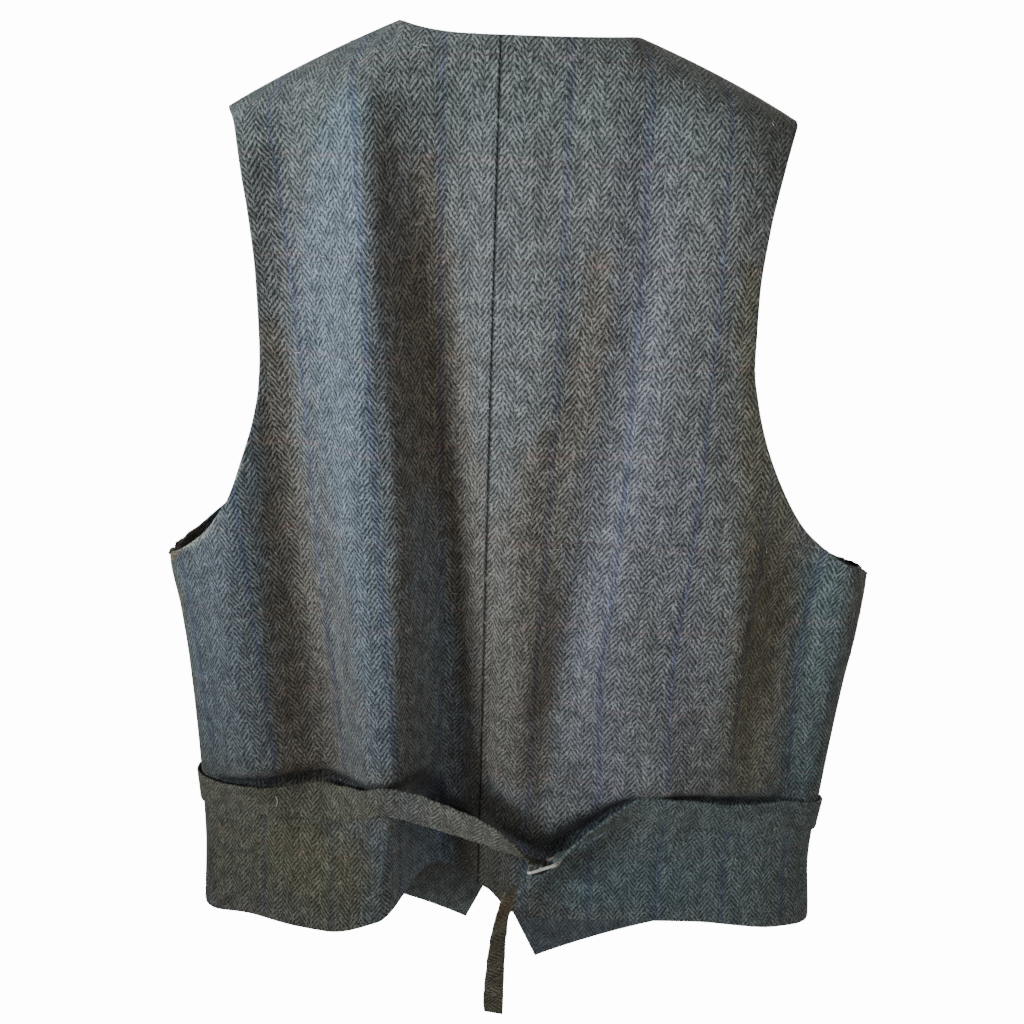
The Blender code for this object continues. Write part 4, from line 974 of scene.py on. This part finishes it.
def bentPath(places, steps):
    # in-between stations, so that the strap bends without corners
    smooth = []
    for index in range(len(places) - 1):
        p0, p1, p2 = places[max(0, index - 1)], places[index], places[index + 1]
        p3 = places[min(len(places) - 1, index + 2)]
        for u in np.arange(steps) / steps:
            smooth.append(0.5 * (2.0 * p1 + (p2 - p0) * u + (2.0 * p0 - 5.0 * p1 + 4.0 * p2 - p3) * u * u
                                 + (3.0 * p1 - p0 - 3.0 * p2 + p3) * u ** 3))
    return smooth + [places[-1]]


def strapPath(side):
    places = laidPlaces(side) + [betweenEdges(*edges) for edges in strapPlan["spans"][side]]
    if side == "left":
        start, end = (math.radians(angle) for angle in strapPlan["loopTurn"])
        loop = [buckleStation(*row) for row in strapPlan["loopIn"]]
        radius = strapPlan["loopRadius"]
        for angle in np.linspace(start, end, 13):
            loop.append(buckleStation(radius * math.cos(angle), radius * math.sin(angle), 0.0134))
        loop += [buckleStation(*row) for row in strapPlan["loopOut"]]
        return bentPath(places, 6)[:-1] + bentPath(loop, 3)
    places += [buckleStation(*row) for row in strapPlan["passage"]]
    for x, y, z, width, turn, slant in strapPlan["tail"]:
        half = np.array((math.cos(math.radians(turn)), math.sin(math.radians(turn)),
                         slant / width)) * width / 2.0
        places.append(betweenEdges(np.array((x, y, z)) + half, np.array((x, y, z)) - half))
    return bentPath(places, 6)


def strapPiece(name, side, materials):
    path = np.stack(strapPath(side))
    middle = path[:, strapPlan["lines"] // 2]
    run = np.concatenate(([0.0], np.cumsum(np.linalg.norm(np.diff(middle, axis=0), axis=1))))
    keep = np.concatenate(([True], np.diff(run) > 1e-6))
    path, run = path[keep], run[keep]
    length = run[-1]
    rows = np.array(withEdgeSteps(list(np.linspace(0.0, 1.0, round(length / 0.0014))), length)) * length
    width = np.linalg.norm(path[:, 0] - path[:, -1], axis=1)
    columns = np.array(withEdgeSteps(list(np.linspace(0.0, 1.0, 13)), float(np.median(width))))
    lines = np.linspace(0.0, 1.0, strapPlan["lines"])
    alongRows = np.stack([[np.interp(rows, run, path[:, i, axis]) for i in range(len(lines))]
                          for axis in range(3)])
    grid = np.empty((len(rows), len(columns), 3))
    for axis in range(3):
        for row in range(len(rows)):
            grid[row, :, axis] = np.interp(columns, lines, alongRows[axis, :, row])
    share = np.broadcast_to(columns, grid.shape[:2])
    along = np.broadcast_to(rows[:, None], grid.shape[:2])
    normals = gridNormals(grid, np.array((0.0, 1.0, 0.0)))
    across = 2.0 * share - 1.0
    form = strapPlan["camber"] * (1.0 - across ** 2)
    form = form + strapPlan["edgeWave"] * across ** 2 * (
        np.sin(along * 330.0 + across * 1.7) + 0.6 * np.sin(along * 610.0 - across * 2.3))
    free = np.clip((along - 0.04) / 0.03, 0.0, 1.0) * np.clip((length - along) / 0.02, 0.0, 1.0)
    grid = grid + normals * (form * free)[..., None]
    normals = gridNormals(grid, np.array((0.0, 1.0, 0.0)))
    widthAt = np.interp(rows, run, width)[:, None]
    nearest = np.minimum(np.minimum(share, 1.0 - share) * widthAt, np.minimum(along, length - along))
    half = strapPlan["cloth"] / 2.0
    part = half - rolled(nearest, half * 0.96)
    clothMap = np.stack((along, (share - 0.5) * widthAt), axis=-1)
    # tints along the strap, with painted highlight and shade
    table = strapPlan["tintAndPaintedLightTable"][side]
    shade = np.stack([np.interp(along / length, [row[0] for row in table], [tintAndPaintedLightTable[row[1]][i] for row in table])
                      for i in range(3)], axis=-1)
    return wallMesh(name, grid + normals * part[..., None], grid - normals * part[..., None], clothMap,
                    materials,
                    shade)


for side in ("left", "right"):
    item = strapPiece("strap" + side.capitalize(), side, [strapCloth])
    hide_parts("strap_" + side)
    made["strap" + side.capitalize()] = item
    print("strap", side, len(item.data.polygons))


def tubeInto(points, faces, path, radius, sides=8, cyclic=False):
    path = np.asarray(path, float)
    count = len(path)
    ahead = np.roll(path, -1, axis=0) - np.roll(path, 1, axis=0) if cyclic else np.gradient(path, axis=0)
    ahead = ahead / np.linalg.norm(ahead, axis=1, keepdims=True)
    radii = np.broadcast_to(radius, count)
    side = np.cross(ahead[0], (0.0, 0.0, 1.0) if abs(ahead[0][2]) < 0.8 else (1.0, 0.0, 0.0))
    base = len(points)
    for place, tangent, thick in zip(path, ahead, radii):
        side = side - tangent * side.dot(tangent)
        side = side / np.linalg.norm(side)
        other = np.cross(tangent, side)
        for step in range(sides):
            angle = math.tau * step / sides
            points.append(tuple(place + (side * math.cos(angle) + other * math.sin(angle)) * thick))
    for ring in range(count if cyclic else count - 1):
        after = (ring + 1) % count
        for step in range(sides):
            turn = (step + 1) % sides
            faces.append((base + ring * sides + step, base + ring * sides + turn,
                          base + after * sides + turn, base + after * sides + step))
    if not cyclic:
        faces.append(tuple(base + step for step in reversed(range(sides))))
        faces.append(tuple(base + (count - 1) * sides + step for step in range(sides)))


def meshPiece(name, points, faces, materials):
    mesh = bpy.data.meshes.new(name)
    mesh.from_pydata(points, [], faces)
    mesh.shade_smooth()
    mesh.set_sharp_from_angle(angle=math.radians(50.0))
    return addObject(name, mesh, materials)


def smoothLine(keys, count):
    # a curve through a few points, by the same bends as the straps
    return np.array(bentPath([np.asarray(key, float) for key in keys], count))


def metalMaterial(name, colour, roughness):
    material, tree, shader = newMaterial(name, roughness)
    place = addNode(tree, "TexCoord").outputs["Object"]
    cloud = addNode(tree, "TexNoise", Vector=place, Scale=420.0, Detail=4.0)
    scratch = addNode(tree, "TexNoise", Vector=place, Scale=2600.0, Detail=2.0)
    worn = tuple(value * 0.72 for value in colour[:3]) + (1.0,)
    tree.links.new(mixColour(tree, rangeMap(tree, cloud.outputs[0], 0.40, 0.66), colour, worn),
                   shader.inputs["Base Color"])
    tree.links.new(rangeMap(tree, cloud.outputs[0], 0.3, 0.7, roughness - 0.07, roughness + 0.14),
                   shader.inputs["Roughness"])
    relief = addNode(tree, "Bump", Height=scratch.outputs[0], Strength=0.12, Distance=0.00008)
    tree.links.new(relief.outputs[0], shader.inputs["Normal"])
    shader.inputs["Metallic"].default_value = 0.30
    return material


def buckleFrame():
    halfAlong, halfUp, corner = bucklePlan["rail"] / 2.0, bucklePlan["height"] / 2.0, bucklePlan["corner"]
    loop = []
    for quarter, (alongSign, upSign) in enumerate(((1, 1), (-1, 1), (-1, -1), (1, -1))):
        for step in range(9):
            angle = math.radians(90.0 * quarter + 90.0 * step / 8.0)
            loop.append(inBuckle(alongSign * (halfAlong - corner) + corner * math.cos(angle),
                                 upSign * (halfUp - corner) + corner * math.sin(angle), 0.0))
    return loop


points, faces = [], []
tubeInto(points, faces, buckleFrame(), bucklePlan["wire"], 14, cyclic=True)
centreBar = [inBuckle(0.0, up, 0.0) for up in np.linspace(-0.5, 0.5, 9) * bucklePlan["height"]]
tubeInto(points, faces, centreBar, bucklePlan["wire"] * 0.92, 12)
buckle = meshPiece("buckleFrame", points, faces, [metalMaterial("buckleMetal", (0.97, 0.96, 0.91, 1.0),
                                                                0.30)])
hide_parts("buckle")

points, faces = [], []
for up in bucklePlan["prongs"]:
    curlAngles = np.radians(np.linspace(-200.0, 80.0, 15))
    curlRadius = 0.0019
    curl = [inBuckle(curlRadius * math.cos(a), up, curlRadius * math.sin(a)) for a in curlAngles]
    reach = [inBuckle(along, up, out) for along, out in bucklePlan["prongPath"]]
    line = np.concatenate((curl, smoothLine(reach, 4)))
    taper = np.interp(np.linspace(0.0, 1.0, len(line)), (0.0, 0.85, 1.0),
                      (1.0, 0.9, 0.25)) * bucklePlan["prongWire"]
    tubeInto(points, faces, line, taper, 8)
prongs = meshPiece("buckleProngs", points, faces, [metalMaterial("prongMetal", (0.86, 0.85, 0.80, 1.0),
                                                                 0.34)])
print("buckle made")

# buttons of the front: drops, and the section as (radius, height)
buttonPlan = {
    "drops": (0.298, 0.373, 0.448, 0.523, 0.596), "lift": 0.0006, "hole": 0.0009, "spacing": 0.0017,
    "section": ((0.0, 0.0), (0.0058, 0.0), (0.0067, 0.0003), (0.0074, 0.0010), (0.0076, 0.0016),
                (0.0074, 0.0023),
                (0.0068, 0.0028), (0.0062, 0.0028), (0.0056, 0.0025), (0.0049, 0.0020), (0.0036, 0.00185),
                (0.0, 0.0018)),
    "holeStart": -0.0026, "holeEnd": 0.0168,          # the buttonhole's ends from the button line
}


def hornMaterial(name):
    material, tree, shader = newMaterial(name, 0.34)
    place = addNode(tree, "TexCoord").outputs["Object"]
    streak = addNode(tree, "Mapping", Vector=place, Scale=(90.0, 90.0, 320.0), Rotation=(0.4, 0.2, 0.5))
    bands = addNode(tree, "TexNoise", Vector=streak.outputs[0], Scale=1.0, Detail=5.0)
    colour = mixColour(tree, rangeMap(tree, bands.outputs[0], 0.38, 0.64), (0.020, 0.013, 0.009, 1.0),
                       (0.110, 0.066, 0.036, 1.0))
    tree.links.new(colour, shader.inputs["Base Color"])
    tree.links.new(rangeMap(tree, bands.outputs[0], 0.3, 0.7, 0.26, 0.44), shader.inputs["Roughness"])
    fine = addNode(tree, "TexNoise", Vector=place, Scale=1500.0, Detail=3.0)
    relief = addNode(tree, "Bump", Height=fine.outputs[0], Strength=0.10, Distance=0.0001)
    tree.links.new(relief.outputs[0], shader.inputs["Normal"])
    return material


def threadMaterial(name, colour):
    material, tree, shader = newMaterial(name, 0.8)
    place = addNode(tree, "TexCoord").outputs["Object"]
    twist = addNode(tree, "TexNoise", Vector=place, Scale=2400.0, Detail=2.0)
    pale = tuple(min(1.0, value * 1.6) for value in colour[:3]) + (1.0,)
    tree.links.new(mixColour(tree, rangeMap(tree, twist.outputs[0], 0.35, 0.7), colour, pale),
                   shader.inputs["Base Color"])
    relief = addNode(tree, "Bump", Height=twist.outputs[0], Strength=0.5, Distance=0.0001)
    tree.links.new(relief.outputs[0], shader.inputs["Normal"])
    shader.inputs["Sheen Weight"].default_value = 0.15
    return material


def frontFace(x, drop):
    # outer face of the left front near the button line
    depth = float(sectionSize("front_left", np.array(drop)))
    wide = float(halfWidth(np.array(drop), np.array(x)))
    power = bodyPlan["frontPower"]
    return Vector((x, -depth * (1.0 - (abs(x) / wide) ** power) ** (1.0 / power), -drop))


def frontFrame(x, drop):
    # level, upward and outward directions of the cloth there
    step = 0.006
    level = frontFace(x + step, drop) - frontFace(x - step, drop)
    rise = frontFace(x, drop - step) - frontFace(x, drop + step)
    out = level.cross(rise).normalized()
    if out.y > 0.0:
        out = -out
    level.normalize()
    return level, out.cross(level), out


def buttonMesh():
    turned = bmesh.new()
    section = [turned.verts.new((radius, 0.0, height)) for radius, height in buttonPlan["section"]]
    edges = [turned.edges.new(pair) for pair in zip(section, section[1:])]
    bmesh.ops.spin(turned, geom=section + edges, angle=math.tau, steps=40, axis=(0.0, 0.0, 1.0),
                   cent=(0.0, 0.0, 0.0))
    bmesh.ops.remove_doubles(turned, verts=turned.verts[:], dist=0.00001)
    bmesh.ops.recalc_face_normals(turned, faces=turned.faces[:])
    drill = bmesh.new()
    for acrossSign, upSign in ((1, 1), (-1, 1), (-1, -1), (1, -1)):
        place = Matrix.Translation((acrossSign * buttonPlan["spacing"], upSign * buttonPlan["spacing"], 0.0))
        bmesh.ops.create_cone(drill, cap_ends=True, segments=16, radius1=buttonPlan["hole"],
                              radius2=buttonPlan["hole"], depth=0.012, matrix=place)
    temporary = []
    for name, source in (("buttonBlank", turned), ("buttonDrill", drill)):
        mesh = bpy.data.meshes.new(name)
        source.to_mesh(mesh)
        source.free()
        item = bpy.data.objects.new(name, mesh)
        bpy.context.scene.collection.objects.link(item)
        temporary.append(item)
    cut = temporary[0].modifiers.new("holes", "BOOLEAN")
    cut.operation, cut.solver, cut.object = "DIFFERENCE", "EXACT", temporary[1]
    graph = bpy.context.evaluated_depsgraph_get()
    result = bpy.data.meshes.new_from_object(temporary[0].evaluated_get(graph))
    for item in temporary:
        bpy.data.objects.remove(item, do_unlink=True)
    return result


horn = hornMaterial("buttonHorn")
buttonThread = threadMaterial("buttonThread", (0.030, 0.032, 0.036, 1.0))
holeThread = threadMaterial("buttonholeThread", (0.055, 0.062, 0.068, 1.0))
sharedButton = buttonMesh()
stitchPoints, stitchFaces, holePoints, holeFaces, slitPoints, slitFaces = [], [], [], [], [], []
for number, drop in enumerate(buttonPlan["drops"], 1):
    level, rise, out = frontFrame(bodyPlan["centreFront"], drop)
    place = frontFace(bodyPlan["centreFront"], drop)
    turn = Matrix((level, rise, out)).transposed().to_4x4()
    mesh = sharedButton.copy()
    mesh.transform(Matrix.Translation(place + out * buttonPlan["lift"]) @ turn)
    mesh.name = "button" + str(number)
    mesh.shade_smooth()
    mesh.set_sharp_from_angle(angle=math.radians(40.0))
    item = addObject("button" + str(number), mesh, [horn])
    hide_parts("button_" + str(number))

    def onButton(across, up, height):
        return np.array(place + level * across + rise * up + out * height)

    gap = buttonPlan["spacing"]
    for upSign in (-1.0, 1.0):
        for strand in (-0.00028, 0.0, 0.00028):
            up = upSign * gap + strand
            height = buttonPlan["lift"] + 0.0018
            line = smoothLine([onButton(-gap, up, -0.0008), onButton(-gap, up, height),
                               onButton(-gap * 0.6, up, height + 0.0005),
                               onButton(gap * 0.6, up, height + 0.0005), onButton(gap, up, height),
                               onButton(gap, up, -0.0008)], 4)
            tubeInto(stitchPoints, stitchFaces, line, 0.00016, 6)
    # the buttonhole's worked edge: a close row of purl stitches round the slit
    start, end, half = buttonPlan["holeStart"], buttonPlan["holeEnd"], 0.00075
    spots = [(start + (end - start) * step / 26.0, sign) for sign in (-1.0, 1.0) for step in range(27)]
    for across, sign in spots:
        base = frontFace(bodyPlan["centreFront"] + across, drop)
        bar = [base + rise * (sign * reach) + out * height for reach, height in (
            (0.00025, 0.0000), (0.00045, 0.00042), (0.0012, 0.00036), (0.0021, -0.0001))]
        tubeInto(holePoints, holeFaces, smoothLine([np.array(point) for point in bar], 2), 0.00022, 5)
    for across in (start, end):
        for step in range(-3, 4):
            base = frontFace(bodyPlan["centreFront"] + across, drop)
            bar = [base + level * reach + rise * (0.00055 * step) + out * height for reach, height in (
                (-0.0011, -0.0001), (-0.0006, 0.0004), (0.0006, 0.0004), (0.0011, -0.0001))]
            tubeInto(holePoints, holeFaces, smoothLine([np.array(point) for point in bar], 2), 0.00022, 5)
    # painted shade: a near-black thread along each slit stands for the shade inside the cut
    slit = [np.array(frontFace(bodyPlan["centreFront"] + across, drop) + out * 0.00004)
            for across in np.linspace(start, end, 9)]
    tubeInto(slitPoints, slitFaces, slit, 0.00024, 5)
threads = meshPiece("buttonThreads", stitchPoints, stitchFaces, [buttonThread])
worked = meshPiece("buttonholes", holePoints, holeFaces, [holeThread])
slits = meshPiece("buttonholeSlitShade", slitPoints, slitFaces, [threadMaterial("slitShade",
                                                                            (0.008, 0.009, 0.011, 1.0))])
print("buttons made")


# coarse pale hairs that lie on the cloth, and a bit of fluff on the left strap
hairPlan = {
    "counts": {"backLeft": 260, "backRight": 300, "strapLeft": 30, "strapRight": 24, "frontLeft": 90,
               "frontRight": 80},
    "length": (0.0014, 0.0036), "radius": 0.00012, "lift": 0.00014, "colour": (0.50, 0.51, 0.46, 1.0),
    "fluff": ((0.1460, -0.5222), (0.1449, -0.5250), (0.1450, -0.5280), (0.1459, -0.5308)),
    "fluffRadius": 0.00030,
    "stations": (0.0, 0.35, 0.7, 1.0),   # shares of a hair's length where it may bend
}


def hairsOn(item, count, points, faces):
    polygons = item.data.polygons
    placed = 0
    while placed < count:
        polygon = polygons[random.randrange(len(polygons))]
        out = polygon.normal
        if polygon.area < 0.0000008 or polygon.material_index != 0:
            continue
        along = out.cross(Vector((random.gauss(0.0, 1.0), random.gauss(0.0, 1.0),
                                  random.gauss(0.0, 1.0)))).normalized()
        beside = out.cross(along)
        length, curl = random.uniform(*hairPlan["length"]), random.uniform(-0.4, 0.4)
        path = [polygon.center + along * (length * (share - 0.5)) + beside * (length * curl * share * share)
                + out * (hairPlan["lift"] + 0.0004 * share * (1.0 - share)) for share in hairPlan["stations"]]
        tubeInto(points, faces, [tuple(point) for point in path], hairPlan["radius"], 4)
        placed += 1


points, faces = [], []
for name, count in hairPlan["counts"].items():
    hairsOn(made[name], count, points, faces)
hairs = meshPiece("kempHairs", points, faces, [threadMaterial("kempHair", hairPlan["colour"])])
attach(hairs, "root")
strapFace = [vertex.co for vertex in made["strapLeft"].data.vertices]
path = []
for x, z in hairPlan["fluff"]:
    nearest = sorted(strapFace, key=lambda point: (point.x - x) ** 2 + (point.z - z) ** 2)[:12]
    path.append((x, max(point.y for point in nearest) + 0.0002, z))
points, faces = [], []
tubeInto(points, faces, smoothLine(path, 4), hairPlan["fluffRadius"], 6)
fluff = meshPiece("strapFluff", points, faces, [threadMaterial("fluff", (0.55, 0.56, 0.50, 1.0))])
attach(fluff, "root")
print("hairs laid", len(hairs.data.polygons))

# the cut of each cloth piece as it shows: width and length in metres, and its flat area
cuts = {
    "backLeft": {"flat": (0.316, 0.670), "area": 0.146, "rests": ["backRight", "frontLeft"]},
    "backRight": {"flat": (0.310, 0.660), "area": 0.149, "rests": ["backLeft", "frontRight"]},
    "frontLeft": {"flat": (0.288, 0.735), "area": 0.135, "rests": ["backLeft", "frontRight"]},
    "frontRight": {"flat": (0.325, 0.740), "area": 0.143, "rests": ["backRight", "frontLeft"]},
    "strapLeft": {"flat": (0.028, 0.318), "area": 0.0078, "rests": ["backLeft", "buckleFrame"]},
    "strapRight": {"flat": (0.025, 0.395), "area": 0.0080, "rests": ["backRight", "buckleFrame"]},
}
for name, cut in cuts.items():
    mesh = made[name].data
    reach = np.array([entry.uv[:] for entry in mesh.uv_layers["clothMap"].data])
    print("cloth", name, round(sum(polygon.area for polygon in mesh.polygons) / 2.0, 4),
          (reach.max(0) - reach.min(0)).round(3))

cameraPlan = {
    "place": (-0.0163, 0.8117, -0.0599),
    "pitch": 17.8,                  # degrees below level, towards the front
    "roll": 2.0,
    "lens": 42.19,
    "sensor": 36.0,
}


def addCamera():
    data = bpy.data.cameras.new("camera")
    data.lens, data.sensor_width = cameraPlan["lens"], cameraPlan["sensor"]
    item = bpy.data.objects.new("camera", data)
    bpy.context.scene.collection.objects.link(item)
    pitch, roll = math.radians(cameraPlan["pitch"]), math.radians(cameraPlan["roll"])
    look = Vector((0.0, -math.cos(pitch), -math.sin(pitch)))
    right = Vector((-1.0, 0.0, 0.0))
    turn = Matrix((right, right.cross(look), -look)).transposed().to_4x4()
    item.matrix_world = Matrix.Translation(cameraPlan["place"]) @ turn @ Matrix.Rotation(roll, 4, "Z")
    bpy.context.scene.camera = item


# lights: place, what they face, size, power in watts, colour and spread in degrees
lightPlan = {
    "keyLight": ((1.45, 1.05, 0.10), (-0.06, 0.06, -0.12), (0.55, 0.65), 2.6, (0.86, 0.94, 1.0), 34.0),
    "fillLight": ((-1.2, 1.5, 0.6), (0.0, 0.0, -0.20), (1.2, 1.2), 3.7, (1.0, 0.92, 0.84), 120.0),
    "frontLight": ((-0.7, -1.5, 0.3), (0.0, 0.0, -0.30), (0.9, 0.9), 16.0, (1.0, 0.98, 0.95), 120.0),
}


def addLight(name, place, aim, size, power, colour, spread=180.0):
    data = bpy.data.lights.new(name, "AREA")
    data.shape, data.size, data.size_y = "RECTANGLE", size[0], size[1]
    data.energy, data.color, data.spread = power, colour, math.radians(spread)
    item = bpy.data.objects.new(name, data)
    bpy.context.scene.collection.objects.link(item)
    item.location = place
    item.rotation_euler = (Vector(aim) - Vector(place)).to_track_quat("-Z", "Y").to_euler()


def addFloor():
    mesh = bpy.data.meshes.new("floor")
    reach, level = 9.0, -1.05
    corners = ((-reach, -reach), (reach, -reach), (reach, reach), (-reach, reach))
    mesh.from_pydata([(x, y, level) for x, y in corners], [], [(0, 1, 2, 3)])
    item = bpy.data.objects.new("floor", mesh)
    bpy.context.scene.collection.objects.link(item)
    material, tree, shader = newMaterial("floorPaper", 0.9)
    grain = addNode(tree, "TexNoise", Scale=3.0)
    tree.links.new(mixColour(tree, grain.outputs[0], (0.74, 0.74, 0.73, 1.0), (0.78, 0.78, 0.78, 1.0)),
                   shader.inputs["Base Color"])
    # the paper is lit so evenly that it shows plain white
    glow = addNode(tree, "Emission", Color=(1.0, 1.0, 1.0, 1.0), Strength=studio["backdrop"])
    seen = addNode(tree, "LightPath").outputs["Is Camera Ray"]
    mixed = addNode(tree, "MixShader", i0=seen, i1=shader.outputs[0], i2=glow.outputs[0])
    tree.links.new(mixed.outputs[0], tree.nodes["Material Output"].inputs["Surface"])
    mesh.materials.append(material)


def addWorld():
    world = bpy.data.worlds.new("studio")
    world.use_nodes = True
    tree = world.node_tree
    ambient = tree.nodes["Background"]
    ambient.inputs[0].default_value = (*studio["ambientColour"], 1.0)
    ambient.inputs[1].default_value = studio["ambient"]
    paper = addNode(tree, "Background", Color=(1.0, 1.0, 1.0, 1.0), Strength=studio["backdrop"])
    seen = addNode(tree, "LightPath").outputs["Is Camera Ray"]
    mixed = addNode(tree, "MixShader", i0=seen, i1=ambient.outputs[0], i2=paper.outputs[0])
    tree.links.new(mixed.outputs[0], tree.nodes["World Output"].inputs["Surface"])
    bpy.context.scene.world = world


studio = {"backdrop": 14.0, "ambient": 0.20, "ambientColour": (1.0, 0.93, 0.82)}
addCamera()
addFloor()
addWorld()
for name, light in lightPlan.items():
    addLight(name, *light)
